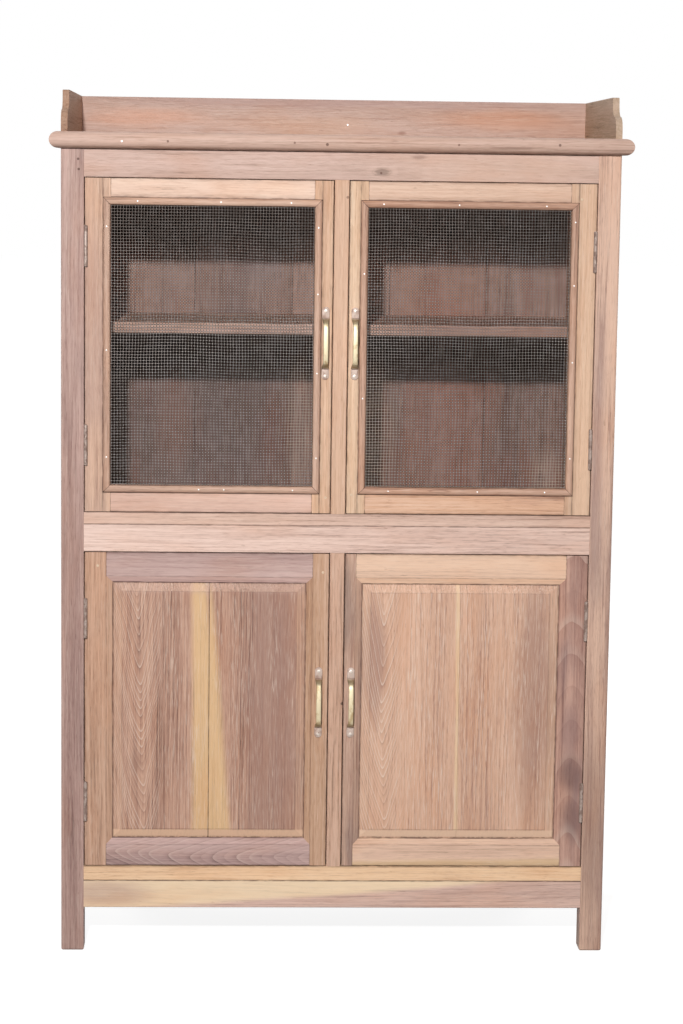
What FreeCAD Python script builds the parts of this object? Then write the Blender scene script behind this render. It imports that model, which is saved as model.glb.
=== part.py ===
# Jelly cupboard in planed old teak: a post-and-rail carcass with two gauze doors above,
# two panelled doors below and a low gallery round the top.
# Millimetres, +Z up. The doors face -Y, and the origin is on the floor under the middle.

import FreeCAD
import Part
import math
import os

Vector = FreeCAD.Vector

# Overall size
overall_height = 1600.0
carcass_width = 1020.0
carcass_depth = 445.0

# Posts and front rails
post_width = 42.0
post_depth = 42.0
post_arris = 4.0
foot_chamfer = 2.5
foot_clearance = 83.0
rail_thickness = 25.0
bottom_rail_height = 52.0
middle_rail_height = 51.0
top_rail_height = 51.0
lower_opening_height = 595.0
rail_tenon_length = 20.0
rail_tenon_thickness = 10.0
rail_tenon_shoulder = 6.0

# Sides and back
side_rail_thickness = 22.0
side_rail_inset = 4.0
side_tenon_length = 20.0
side_panel_thickness = 9.0
side_groove_depth = 8.0
rear_rail_thickness = 22.0
back_board_thickness = 10.0
back_board_width = 194.0
back_board_arris = 1.2

# Floors and shelf
lower_floor_thickness = 28.0
upper_floor_thickness = 22.0
shelf_thickness = 20.0
shelf_height_share = 0.5327
shelf_setback = 60.0
bearer_width = 18.0
bearer_height = 28.0
board_clearance = 0.5

# Centre stiles, each with a stop behind that laps the two doors
centre_stile_width = 27.0
centre_stile_arris = 2.5
stop_lap = 8.0
stop_thickness = 12.0
stile_tenon_length = 10.0
stile_tenon_width = 14.0
stile_tenon_thickness = 10.0

# Top and gallery
top_thickness = 30.0
top_overhang = 20.0
nosing_depth = 30.0
gallery_height = 76.0
gallery_thickness = 12.0
gallery_setback = 5.0
gallery_lip = 16.0
gallery_ogee_radius = 24.0
gallery_corner_radius = 5.0

# Door frames
door_gap = 1.5
door_thickness = 25.0
door_stop_clearance = 0.4
door_tenon_length = 24.0
door_tenon_thickness = 8.0
door_tenon_shoulder = 8.0
upper_hinge_stile = 47.0
upper_meeting_stile = 34.0
upper_top_rail = 48.0
upper_bottom_rail = 50.0
lower_left_hinge_stile = 52.0
lower_left_meeting_stile = 42.0
lower_right_hinge_stile = 52.0
lower_right_meeting_stile = 32.0
lower_top_rail = 56.0
lower_bottom_rail = 52.0

# Gauze and its beading
mesh_thickness = 1.2
mesh_bar = 3.0
mesh_lap = 11.0
mesh_columns = 10
mesh_rows = 15
bead_width = 14.0
bead_height = 8.0
bead_edge = 2.5

# Raised and fielded panels, and the moulded edge round them
moulding_width = 12.0
moulding_drop = 6.0
groove_setback = 9.0
groove_depth = 8.0
tongue_thickness = 7.0
tongue_clearance = 0.5
field_rise = 5.0
field_bevel = 17.0
seam_gap = 0.4
seam_share = 0.5

# Butt hinges
hinge_length = 74.0
hinge_inset = 86.0
hinge_leaf_width = 20.0
hinge_leaf_thickness = 1.6
hinge_leaf_gap = 0.5
hinge_barrel_radius = 3.5
hinge_barrel_clearance = 0.4
hinge_pin_radius = 1.5
hinge_pin_fit = 0.05
hinge_pin_end = 0.8
hinge_knuckles = 5
knuckle_gap = 0.4

# Bow handles
handle_length = 133.0
handle_reach = 28.0
handle_foot_length = 21.0
handle_foot_width = 14.0
handle_foot_thickness = 3.0
handle_neck_width = 7.0
handle_grip_width = 10.0
handle_neck_run = 9.0
handle_grip_thickness = 6.5
handle_shoulder_drop = 7.0
upper_handle_offset = 12.0
lower_left_handle_offset = 17.0
lower_right_handle_offset = 13.0
upper_handle_height_share = 0.515
lower_handle_height_share = 0.528
screw_head_radius = 3.0
screw_head_height = 1.4
screw_shank_radius = 1.6
screw_length = 16.0
screw_fit = 0.05

# Planed bars have their long edges eased; small round pieces are drawn with flats
edge_arris = 0.8
round_sides = 10
quarter_round_share = 1 - math.sqrt(0.5)

# One overrun for every cut that has to break a surface, and the slack for finding an edge
overrun = 2.0
edge_slack = 0.001

# Levels and lines that the sizes above settle
half_width = carcass_width / 2
top_level = overall_height - gallery_height
post_height = top_level - top_thickness
inner_half = half_width - post_width
bottom_rail_top = foot_clearance + bottom_rail_height
lower_opening_bottom = bottom_rail_top + lower_floor_thickness
middle_rail_bottom = lower_opening_bottom + lower_opening_height
middle_rail_top = middle_rail_bottom + middle_rail_height
upper_opening_bottom = middle_rail_top + upper_floor_thickness
top_rail_bottom = post_height - top_rail_height
upper_opening_height = top_rail_bottom - upper_opening_bottom
rail_levels = (
    (foot_clearance, bottom_rail_top),
    (middle_rail_bottom, middle_rail_top),
    (top_rail_bottom, post_height),
)
side_outer = half_width - side_rail_inset
side_inner = side_outer - side_rail_thickness
side_middle = (side_outer + side_inner) / 2
panel_inner = side_middle - side_panel_thickness / 2
back_front = carcass_depth - back_board_thickness
rear_rail_front = back_front - rear_rail_thickness
rear_post_front = carcass_depth - post_depth
stop_front = door_thickness + door_stop_clearance
door_outer = inner_half - door_gap
door_width = door_outer - centre_stile_width / 2 - door_gap
depth_shift = (handle_reach - carcass_depth) / 2
axis_y = -(hinge_barrel_radius + hinge_barrel_clearance)
axis_u = hinge_barrel_radius - door_gap


def block(x_span, y_span, z_span):
    corner = Vector(x_span[0], y_span[0], z_span[0])
    size = [span[1] - span[0] for span in (x_span, y_span, z_span)]
    return Part.makeBox(size[0], size[1], size[2], corner)


def prism(points, travel):
    outline = Part.makePolygon(list(points) + [points[0]])
    return Part.Face(outline).extrude(travel)


def outline_prism(edges, travel):
    return Part.Face(Part.Wire(edges)).extrude(travel)


def line(start, end):
    return Part.LineSegment(start, end).toShape()


def arc(start, middle, end):
    return Part.Arc(start, middle, end).toShape()


def rectangle_at(y, x_span, z_span):
    corners = [
        Vector(x_span[0], y, z_span[0]),
        Vector(x_span[1], y, z_span[0]),
        Vector(x_span[1], y, z_span[1]),
        Vector(x_span[0], y, z_span[1]),
    ]
    return Part.makePolygon(corners + [corners[0]])


def grown(span, margin):
    return (span[0] - margin, span[1] + margin)


def edges_along(shape, direction):
    return [edge for edge in shape.Edges if edge.Curve.Direction.cross(direction).Length < edge_slack]


def bar(x_span, y_span, z_span, direction):
    """A planed bar, its four long edges eased."""
    shape = block(x_span, y_span, z_span)
    return shape.makeChamfer(edge_arris, edges_along(shape, direction))


def ring(centre, radius, direction):
    """A small circle drawn with flats, its corners on the radius."""
    across = Vector(1, 0, 0)
    up = Vector(direction).cross(across).normalize()
    turn = 2 * math.pi / round_sides
    corners = [
        centre + across * (radius * math.cos(step * turn)) + up * (radius * math.sin(step * turn))
        for step in range(round_sides)
    ]
    return Part.makePolygon(corners + [corners[0]])


def round_bar(start, radius, travel):
    """A small round bar, from its start along its travel."""
    return Part.Face(ring(start, radius, travel)).extrude(travel)


def round_hole(start, radius, travel):
    """Cutter whose flats, not its corners, lie on the radius."""
    return round_bar(start, radius / math.cos(math.pi / round_sides), travel)


def mirrored_x(shape):
    return shape.mirror(Vector(0, 0, 0), Vector(1, 0, 0))


def mirrored_y(shape):
    return shape.mirror(Vector(0, carcass_depth / 2, 0), Vector(0, 1, 0))


def tenon_levels(level, shoulder):
    return (level[0] + shoulder, level[1] - shoulder)


# Carcass

def post_blank():
    """Left front post: its outer corner rounded, its other edges and its foot eased."""
    outer = -half_width
    inner = -inner_half
    ease = post_arris * quarter_round_share
    corners = [
        Vector(outer + post_arris, 0, 0),
        Vector(inner - edge_arris, 0, 0),
        Vector(inner, edge_arris, 0),
        Vector(inner, post_depth - edge_arris, 0),
        Vector(inner - edge_arris, post_depth, 0),
        Vector(outer + edge_arris, post_depth, 0),
        Vector(outer, post_depth - edge_arris, 0),
        Vector(outer, post_arris, 0),
    ]
    edges = [line(first, second) for first, second in zip(corners, corners[1:])]
    edges.append(arc(corners[-1], Vector(outer + ease, ease, 0), corners[0]))
    blank = outline_prism(edges, Vector(0, 0, post_height))
    envelope = block((outer, inner), (0, post_depth), (0, post_height))
    sole = min(envelope.Faces, key=lambda face: face.CenterOfMass.z)
    return blank.common(envelope.makeChamfer(foot_chamfer, sole.Edges))


def post(rail_middle):
    """Left post with the mortises and grooves that its rails and side panels enter."""
    shape = post_blank()
    half_tenon = rail_tenon_thickness / 2
    half_panel = side_panel_thickness / 2
    for level in rail_levels:
        rail_tenon = tenon_levels(level, rail_tenon_shoulder)
        shape = shape.cut(block(
            (-inner_half - rail_tenon_length, -inner_half + overrun),
            (rail_middle - half_tenon, rail_middle + half_tenon), rail_tenon))
        shape = shape.cut(block(
            (-side_middle - half_panel, -side_middle + half_panel),
            (post_depth - side_tenon_length, post_depth + overrun), rail_tenon))
    for lower, upper in zip(rail_levels, rail_levels[1:]):
        shape = shape.cut(block(
            (-side_middle - half_panel, -side_middle + half_panel),
            (post_depth - side_groove_depth, post_depth + overrun),
            (lower[1] - side_groove_depth, upper[0] + side_groove_depth)))
    return shape


def cross_rail(y_span, level):
    """Front or rear rail with a tenon at each end."""
    middle = (y_span[0] + y_span[1]) / 2
    half_tenon = rail_tenon_thickness / 2
    rail = bar((-inner_half, inner_half), y_span, level, Vector(1, 0, 0))
    tongue = block(
        (-inner_half - rail_tenon_length, inner_half + rail_tenon_length),
        (middle - half_tenon, middle + half_tenon),
        tenon_levels(level, rail_tenon_shoulder))
    return rail.fuse(tongue).removeSplitter()


def side_rail(index):
    """Left side rail, tenoned into both posts and grooved for the panels above and below."""
    level = rail_levels[index]
    half_panel = side_panel_thickness / 2
    groove = (-side_middle - half_panel, -side_middle + half_panel)
    rail = bar((-side_outer, -side_inner), (post_depth, rear_post_front), level, Vector(0, 1, 0))
    tongue = block(
        groove, (post_depth - side_tenon_length, rear_post_front + side_tenon_length),
        tenon_levels(level, rail_tenon_shoulder))
    shape = rail.fuse(tongue).removeSplitter()
    run = (post_depth - side_tenon_length, rear_post_front + side_tenon_length)
    if index > 0:
        shape = shape.cut(block(groove, run, (level[0] - overrun, level[0] + side_groove_depth)))
    if index < len(rail_levels) - 1:
        shape = shape.cut(block(groove, run, (level[1] - side_groove_depth, level[1] + overrun)))
    return shape


def side_panel(lower, upper):
    half_panel = side_panel_thickness / 2
    return block(
        (-side_middle - half_panel, -side_middle + half_panel),
        (post_depth - side_groove_depth, rear_post_front + side_groove_depth),
        (lower[1] - side_groove_depth, upper[0] + side_groove_depth))


def back_boards():
    """Vertical boards between the rear posts; the last one takes the width that is left."""
    boards = []
    left = -inner_half
    while left < inner_half - back_board_arris:
        right = min(left + back_board_width, inner_half)
        corners = [
            Vector(left, carcass_depth - back_board_arris, foot_clearance),
            Vector(left + back_board_arris, carcass_depth, foot_clearance),
            Vector(right - back_board_arris, carcass_depth, foot_clearance),
            Vector(right, carcass_depth - back_board_arris, foot_clearance),
            Vector(right, back_front + back_board_arris, foot_clearance),
            Vector(right - back_board_arris, back_front, foot_clearance),
            Vector(left + back_board_arris, back_front, foot_clearance),
            Vector(left, back_front + back_board_arris, foot_clearance),
        ]
        boards.append(prism(corners, Vector(0, 0, post_height - foot_clearance)))
        left = right
    return boards


def notched_board(front, level, thickness, front_notch):
    """A floor or shelf cut round the posts, from its front edge back to the back boards."""
    wide = panel_inner - board_clearance
    narrow = inner_half
    back_notch = rear_post_front - board_clearance
    right_side = [
        Vector(narrow if front_notch else wide, front, level),
        Vector(wide, back_notch, level),
        Vector(narrow, back_notch, level),
        Vector(narrow, back_front, level),
    ]
    if front_notch:
        step = post_depth + board_clearance
        right_side[1:1] = [Vector(narrow, step, level), Vector(wide, step, level)]
    left_side = [Vector(-point.x, point.y, point.z) for point in reversed(right_side)]
    board = prism(right_side + left_side, Vector(0, 0, thickness))
    front_edges = [
        edge for edge in edges_along(board, Vector(1, 0, 0)) if abs(edge.CenterOfMass.y - front) < edge_slack]
    return board.makeChamfer(edge_arris, front_edges)


def centre_stile(bottom, top):
    """T-shaped stile: a face between the doors and a wider stop behind them."""
    half_face = centre_stile_width / 2
    half_stop = half_face + stop_lap
    back = stop_front + stop_thickness
    ease = centre_stile_arris * quarter_round_share
    corner = [
        Vector(half_face - centre_stile_arris, 0, bottom),
        Vector(half_face - ease, ease, bottom),
        Vector(half_face, centre_stile_arris, bottom),
    ]
    half = [corner[2], Vector(half_face, stop_front, bottom), Vector(half_stop, stop_front, bottom),
            Vector(half_stop, back, bottom)]
    other = [Vector(-point.x, point.y, point.z) for point in half]
    left_corner = [Vector(-point.x, point.y, point.z) for point in corner]
    edges = [arc(*corner)]
    edges += [line(a, b) for a, b in zip(half, half[1:])]
    edges.append(line(half[-1], other[-1]))
    edges += [line(b, a) for a, b in zip(other, other[1:])][::-1]
    edges.append(arc(left_corner[2], left_corner[1], left_corner[0]))
    edges.append(line(left_corner[0], corner[0]))
    body = outline_prism(edges, Vector(0, 0, top - bottom))
    return body.fuse(stile_tenon(bottom, top)).removeSplitter()


def stile_tenon(bottom, top):
    middle = rail_thickness / 2
    return block(
        (-stile_tenon_width / 2, stile_tenon_width / 2),
        (middle - stile_tenon_thickness / 2, middle + stile_tenon_thickness / 2),
        (bottom - stile_tenon_length, top + stile_tenon_length))


def rounded_ends(y_span):
    """Top slab seen from the front: level faces and half-round ends."""
    radius = top_thickness / 2
    reach = half_width + top_overhang
    middle = post_height + radius
    straight = reach - radius
    y = y_span[0]
    edges = [
        line(Vector(-straight, y, post_height), Vector(straight, y, post_height)),
        arc(Vector(straight, y, post_height), Vector(reach, y, middle), Vector(straight, y, top_level)),
        line(Vector(straight, y, top_level), Vector(-straight, y, top_level)),
        arc(Vector(-straight, y, top_level), Vector(-reach, y, middle), Vector(-straight, y, post_height)),
    ]
    return outline_prism(edges, Vector(0, y_span[1] - y, 0))


def front_nosing():
    """Half-round strip along the front edge of the top, its ends rounded to match."""
    radius = top_thickness / 2
    front = -top_overhang
    back = front + nosing_depth
    reach = half_width + top_overhang
    middle = post_height + radius
    edges = [
        line(Vector(-reach, back, top_level), Vector(-reach, front + radius, top_level)),
        arc(Vector(-reach, front + radius, top_level), Vector(-reach, front, middle),
            Vector(-reach, front + radius, post_height)),
        line(Vector(-reach, front + radius, post_height), Vector(-reach, back, post_height)),
        line(Vector(-reach, back, post_height), Vector(-reach, back, top_level)),
    ]
    strip = outline_prism(edges, Vector(2 * reach, 0, 0))
    return strip.common(rounded_ends((front - overrun, back)))


def gallery_side():
    """Left gallery board, its front edge an ogee of two quarter rounds."""
    outer = -half_width
    radius = gallery_ogee_radius
    corner = gallery_corner_radius
    ease = quarter_round_share
    foot = gallery_setback
    lip = top_level + gallery_lip
    waist_y = foot + radius
    waist_z = lip + radius
    crown_y = waist_y + radius
    crown_z = waist_z + radius

    def at(y, z):
        return Vector(outer, y, z)

    edges = [
        line(at(carcass_depth, top_level), at(foot, top_level)),
        line(at(foot, top_level), at(foot, lip)),
        arc(at(foot, lip), at(foot + radius * ease, waist_z - radius * ease), at(waist_y, waist_z)),
        arc(at(waist_y, waist_z), at(crown_y - radius * ease, waist_z + radius * ease), at(crown_y, crown_z)),
        line(at(crown_y, crown_z), at(crown_y, overall_height - corner)),
        arc(at(crown_y, overall_height - corner), at(crown_y + corner * ease, overall_height - corner * ease),
            at(crown_y + corner, overall_height)),
        line(at(crown_y + corner, overall_height), at(carcass_depth, overall_height)),
        line(at(carcass_depth, overall_height), at(carcass_depth, top_level)),
    ]
    return outline_prism(edges, Vector(gallery_thickness, 0, 0))


def build_carcass():
    front_rail_span = (0, rail_thickness)
    rear_rail_span = (rear_rail_front, back_front)
    front_post = post(rail_thickness / 2)
    rear_post = mirrored_y(post(back_board_thickness + rear_rail_thickness / 2))
    rails = [cross_rail(front_rail_span, level) for level in rail_levels]
    upper_tenon = stile_tenon(upper_opening_bottom, top_rail_bottom)
    lower_tenon = stile_tenon(lower_opening_bottom, middle_rail_bottom)
    side_rails = [side_rail(index) for index in range(len(rail_levels))]
    side_panels = [side_panel(low, high) for low, high in zip(rail_levels, rail_levels[1:])]
    shelf_bottom = upper_opening_bottom + shelf_height_share * upper_opening_height
    bearer = bar(
        (-inner_half, -inner_half + bearer_width),
        (stop_front, back_front), (shelf_bottom - bearer_height, shelf_bottom), Vector(0, 1, 0))
    lower_floor = notched_board(0, bottom_rail_top, lower_floor_thickness, True)
    upper_floor = notched_board(0, middle_rail_top, upper_floor_thickness, True)
    left_gallery = gallery_side()
    gallery_inner = half_width - gallery_thickness
    return {
        "front_left_post": [front_post],
        "front_right_post": [mirrored_x(front_post)],
        "rear_left_post": [rear_post],
        "rear_right_post": [mirrored_x(rear_post)],
        "bottom_front_rail": [rails[0]],
        "middle_front_rail": [rails[1].cut(lower_tenon)],
        "top_front_rail": [rails[2].cut(upper_tenon)],
        "rear_rails": [cross_rail(rear_rail_span, level) for level in rail_levels],
        "left_side_rails": side_rails,
        "right_side_rails": [mirrored_x(rail) for rail in side_rails],
        "left_side_panels": side_panels,
        "right_side_panels": [mirrored_x(panel) for panel in side_panels],
        "back_boards": back_boards(),
        "lower_floor": [lower_floor.cut(lower_tenon)],
        "upper_floor": [upper_floor.cut(upper_tenon)],
        "upper_shelf": [notched_board(shelf_setback, shelf_bottom, shelf_thickness, False)],
        "shelf_bearers": [bearer, mirrored_x(bearer)],
        "upper_centre_stile": [centre_stile(upper_opening_bottom, top_rail_bottom)],
        "lower_centre_stile": [centre_stile(lower_opening_bottom, middle_rail_bottom)],
        "top_board": [rounded_ends((nosing_depth - top_overhang, carcass_depth))],
        "front_nosing": [front_nosing()],
        "gallery_left_side": [left_gallery],
        "gallery_right_side": [mirrored_x(left_gallery)],
        "gallery_back": [bar(
            (-gallery_inner, gallery_inner), (carcass_depth - gallery_thickness, carcass_depth),
            (top_level, overall_height), Vector(1, 0, 0))],
    }


# Doors. Each is drawn as a left-hand door, with u the distance from its hinge edge.

def door_x(u):
    return u - door_outer


def u_span(first, last):
    return (door_x(first), door_x(last))


def hinge_levels(door):
    low, high = door["levels"]
    return [low + hinge_inset, high - hinge_inset - hinge_length]


def knuckle(bottom, web_span):
    """One barrel length with the web that ties it to its leaf."""
    length = hinge_length / hinge_knuckles - knuckle_gap
    start = bottom + knuckle_gap / 2
    centre = Vector(door_x(axis_u), axis_y, start)
    barrel = round_bar(centre, hinge_barrel_radius, Vector(0, 0, length))
    web = block(web_span, (axis_y, 0), (start, start + length))
    return barrel.fuse(web)


def hinge_leaf(bottom, plate_span, own_knuckles):
    """A leaf's plate and its own knuckles, bored for the pin."""
    leaf = block(plate_span, (0, hinge_leaf_width), (bottom, bottom + hinge_length))
    step = hinge_length / hinge_knuckles
    for index in own_knuckles:
        leaf = leaf.fuse(knuckle(bottom + index * step, plate_span))
    bore = round_hole(
        Vector(door_x(axis_u), axis_y, bottom), hinge_pin_radius + hinge_pin_fit, Vector(0, 0, hinge_length))
    return leaf.cut(bore).removeSplitter()


def post_leaf_span():
    return u_span(-door_gap, hinge_leaf_thickness - door_gap)


def door_leaf_span():
    near = hinge_leaf_thickness - door_gap + hinge_leaf_gap
    return u_span(near, near + hinge_leaf_thickness)


def post_leaf(bottom):
    return hinge_leaf(bottom, post_leaf_span(), range(0, hinge_knuckles, 2))


def door_leaf(bottom):
    return hinge_leaf(bottom, door_leaf_span(), range(1, hinge_knuckles, 2))


def hinge_pin(bottom):
    start = Vector(door_x(axis_u), axis_y, bottom - hinge_pin_end)
    return Part.makeCylinder(hinge_pin_radius, hinge_length + 2 * hinge_pin_end, start)


def leaf_recess(bottom):
    """Housing in a hinge stile's edge that takes both leaves."""
    return block(
        (door_x(-overrun), door_leaf_span()[1]), (-overrun, hinge_leaf_width + knuckle_gap),
        grown((bottom, bottom + hinge_length), knuckle_gap))


def handle_place(door):
    low, high = door["levels"]
    return Vector(door_x(door_width - door["handle_offset"]), 0, low + door["handle_share"] * (high - low))


def handle_screw_levels():
    reach = handle_length / 2 - handle_foot_width / 2
    return (-reach, reach)


def handle_front_outline():
    """Front view of a handle: round-ended feet, drawn-in necks and a slightly swelled grip."""
    half_foot = handle_foot_width / 2
    half_neck = handle_neck_width / 2
    half_grip = handle_grip_width / 2
    end = handle_length / 2
    foot_line = end - half_foot
    collar = end - handle_foot_length
    neck = collar - handle_neck_run

    def at(x, z):
        return Vector(x, 0, z)

    edges = [
        arc(at(-half_foot, foot_line), at(0, end), at(half_foot, foot_line)),
        line(at(half_foot, foot_line), at(half_foot, collar)),
        line(at(half_foot, collar), at(half_neck, neck)),
        arc(at(half_neck, neck), at(half_grip, 0), at(half_neck, -neck)),
        line(at(half_neck, -neck), at(half_foot, -collar)),
        line(at(half_foot, -collar), at(half_foot, -foot_line)),
        arc(at(half_foot, -foot_line), at(0, -end), at(-half_foot, -foot_line)),
        line(at(-half_foot, -foot_line), at(-half_foot, -collar)),
        line(at(-half_foot, -collar), at(-half_neck, -neck)),
        arc(at(-half_neck, -neck), at(-half_grip, 0), at(-half_neck, neck)),
        line(at(-half_neck, neck), at(-half_foot, collar)),
        line(at(-half_foot, collar), at(-half_foot, foot_line)),
    ]
    return outline_prism(edges, Vector(0, -handle_reach, 0))


def handle_side_outline():
    """Side view of a handle: flat feet and a bow that stands off the door."""
    end = handle_length / 2
    collar = end - handle_foot_length
    shoulder = collar - handle_neck_run
    foot_y = -handle_foot_thickness
    shoulder_y = handle_shoulder_drop - handle_reach
    inner_y = handle_grip_thickness - handle_reach
    inner_shoulder_y = shoulder_y + handle_grip_thickness
    inner_shoulder = shoulder - handle_grip_thickness / 2
    inner_foot = collar - handle_grip_thickness

    def at(y, z):
        return Vector(-handle_foot_width, y, z)

    edges = [
        line(at(0, end), at(foot_y, end)),
        line(at(foot_y, end), at(foot_y, collar)),
        line(at(foot_y, collar), at(shoulder_y, shoulder)),
        arc(at(shoulder_y, shoulder), at(-handle_reach, 0), at(shoulder_y, -shoulder)),
        line(at(shoulder_y, -shoulder), at(foot_y, -collar)),
        line(at(foot_y, -collar), at(foot_y, -end)),
        line(at(foot_y, -end), at(0, -end)),
        line(at(0, -end), at(0, -inner_foot)),
        line(at(0, -inner_foot), at(inner_shoulder_y, -inner_shoulder)),
        arc(at(inner_shoulder_y, -inner_shoulder), at(inner_y, 0), at(inner_shoulder_y, inner_shoulder)),
        line(at(inner_shoulder_y, inner_shoulder), at(0, inner_foot)),
        line(at(0, inner_foot), at(0, end)),
    ]
    return outline_prism(edges, Vector(2 * handle_foot_width, 0, 0))


def handle(door):
    shape = handle_front_outline().common(handle_side_outline())
    for level in handle_screw_levels():
        shape = shape.cut(round_hole(
            Vector(0, 0, level), screw_shank_radius + screw_fit, Vector(0, -handle_reach, 0)))
    shape.translate(handle_place(door))
    return shape


def handle_screws(door):
    """Cheese-headed screws, one through each foot of a handle."""
    screws = []
    for level in handle_screw_levels():
        seat = handle_place(door) + Vector(0, -handle_foot_thickness, level)
        head = round_bar(seat, screw_head_radius, Vector(0, -screw_head_height, 0))
        shank = round_bar(seat, screw_shank_radius, Vector(0, screw_length, 0))
        screws.append(head.fuse(shank).removeSplitter())
    return screws


def screw_holes(door):
    holes = []
    for level in handle_screw_levels():
        mouth = handle_place(door) + Vector(0, -overrun, level)
        depth = overrun + screw_length - handle_foot_thickness + screw_fit
        holes.append(round_hole(mouth, screw_shank_radius + screw_fit, Vector(0, depth, 0)))
    return holes


def opening_spans(door):
    low, high = door["levels"]
    return (
        u_span(door["hinge_stile"], door_width - door["meeting_stile"]),
        (low + door["bottom_rail"], high - door["top_rail"]),
    )


def rail_tongue(door, is_top):
    """The tenons of a door rail, drawn as one tongue from end to end of the rail."""
    low, high = door["levels"]
    opening = opening_spans(door)[1]
    middle = door_thickness / 2
    half_tenon = door_tenon_thickness / 2
    inner_edge = groove_depth
    if is_top:
        level = (opening[1] + inner_edge, high - door_tenon_shoulder)
    else:
        level = (low + door_tenon_shoulder, opening[0] - inner_edge)
    first = door["hinge_stile"] - door["edge_width"] - door_tenon_length
    last = door_width - door["meeting_stile"] + door["edge_width"]
    last += min(door_tenon_length, door["meeting_stile"] - door["edge_width"] - door_tenon_shoulder)
    return block(u_span(first, last), (middle - half_tenon, middle + half_tenon), level)


def frame_members(door):
    """Stiles and rails. Where the inner edge is moulded, the shoulders turn to a mitre across it."""
    low, high = door["levels"]
    (left, right), (bottom, top) = opening_spans(door)
    edge = door["edge_width"]
    through = Vector(0, door_thickness, 0)

    def at(x, z):
        return Vector(x, 0, z)

    def stile(outer, sight, shoulder):
        shape = prism([
            at(outer, low), at(outer, high), at(shoulder, high), at(shoulder, top + edge), at(sight, top),
            at(sight, bottom), at(shoulder, bottom - edge), at(shoulder, low)], through)
        return shape.makeChamfer(edge_arris, [
            side for side in edges_along(shape, Vector(0, 0, 1)) if abs(side.CenterOfMass.x - outer) < edge_slack])

    def rail(outer, sight, level):
        shape = prism([
            at(left - edge, outer), at(right + edge, outer), at(right + edge, level), at(right, sight),
            at(left, sight), at(left - edge, level)], through)
        return shape.makeChamfer(edge_arris, [
            side for side in edges_along(shape, Vector(1, 0, 0)) if abs(side.CenterOfMass.z - outer) < edge_slack])

    def plain_stile(first, last):
        return bar((first, last), (0, door_thickness), (low, high), Vector(0, 0, 1))

    def plain_rail(first, last):
        return bar((left, right), (0, door_thickness), (first, last), Vector(1, 0, 0))

    hinge_edge = door_x(0)
    meeting_edge = door_x(door_width)
    if edge > 0:
        members = {
            "hinge_stile": stile(hinge_edge, left, left - edge),
            "meeting_stile": stile(meeting_edge, right, right + edge),
            "top_rail": rail(high, top, top + edge),
            "bottom_rail": rail(low, bottom, bottom - edge),
        }
    else:
        members = {
            "hinge_stile": plain_stile(hinge_edge, left),
            "meeting_stile": plain_stile(right, meeting_edge),
            "top_rail": plain_rail(top, high),
            "bottom_rail": plain_rail(low, bottom),
        }
    for name, is_top in (("top_rail", True), ("bottom_rail", False)):
        tongue = rail_tongue(door, is_top)
        members[name] = members[name].fuse(tongue).removeSplitter()
        members["hinge_stile"] = members["hinge_stile"].cut(tongue)
        members["meeting_stile"] = members["meeting_stile"].cut(tongue)
    for bottom_end in hinge_levels(door):
        members["hinge_stile"] = members["hinge_stile"].cut(leaf_recess(bottom_end))
    for hole in screw_holes(door):
        members["meeting_stile"] = members["meeting_stile"].cut(hole)
    return members


def gauze(door):
    """Gauze drawn as a flat net: one face with a hole for each gap, given the wire's thickness."""
    x_span, z_span = opening_spans(door)
    pitch_x = (x_span[1] - x_span[0]) / mesh_columns
    pitch_z = (z_span[1] - z_span[0]) / mesh_rows
    wires = [rectangle_at(0, grown(x_span, mesh_lap), grown(z_span, mesh_lap))]
    for column in range(mesh_columns):
        for row in range(mesh_rows):
            x = x_span[0] + column * pitch_x
            z = z_span[0] + row * pitch_z
            wires.append(rectangle_at(0, grown((x, x + pitch_x), -mesh_bar / 2),
                                      grown((z, z + pitch_z), -mesh_bar / 2)))
    return Part.Face(wires, "Part::FaceMakerBullseye").extrude(Vector(0, -mesh_thickness, 0))


def beading(door):
    """Four mitred strips of round-faced bead that hold the gauze."""
    x_span, z_span = opening_spans(door)
    outer_x = grown(x_span, bead_width)
    outer_z = grown(z_span, bead_width)
    seat = -mesh_thickness
    crest = seat - bead_height
    shoulder = seat - bead_edge

    def strip(inner, outer, travel, place):
        middle = (inner + outer) / 2
        edges = [
            line(place(inner, seat), place(outer, seat)),
            line(place(outer, seat), place(outer, shoulder)),
            arc(place(outer, shoulder), place(middle, crest), place(inner, shoulder)),
            line(place(inner, shoulder), place(inner, seat)),
        ]
        return outline_prism(edges, travel)

    def mitre(corners):
        points = [Vector(x, seat, z) for x, z in corners]
        return prism(points, Vector(0, crest - seat, 0))

    strips = []
    for inner, outer in zip(x_span, outer_x):
        bead = strip(inner, outer, Vector(0, 0, outer_z[1] - outer_z[0]),
                     lambda across, y: Vector(across, y, outer_z[0]))
        strips.append(bead.common(mitre([
            (outer, outer_z[0]), (outer, outer_z[1]), (inner, z_span[1]), (inner, z_span[0])])))
    for inner, outer in zip(z_span, outer_z):
        bead = strip(inner, outer, Vector(outer_x[1] - outer_x[0], 0, 0),
                     lambda across, y: Vector(outer_x[0], y, across))
        strips.append(bead.common(mitre([
            (outer_x[0], outer), (outer_x[1], outer), (x_span[1], inner), (x_span[0], inner)])))
    return strips


def moulded_edge_cut(door):
    """Tapered block that leaves the sloping edge round a panel opening."""
    x_span, z_span = opening_spans(door)
    flare = moulding_width * (moulding_drop + overrun) / moulding_drop
    return Part.makeLoft([
        rectangle_at(moulding_drop, x_span, z_span),
        rectangle_at(-overrun, grown(x_span, flare), grown(z_span, flare)),
    ], True, True)


def panel_groove(door):
    x_span, z_span = opening_spans(door)
    return block(grown(x_span, groove_depth), (groove_setback, groove_setback + tongue_thickness),
                 grown(z_span, groove_depth))


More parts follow.
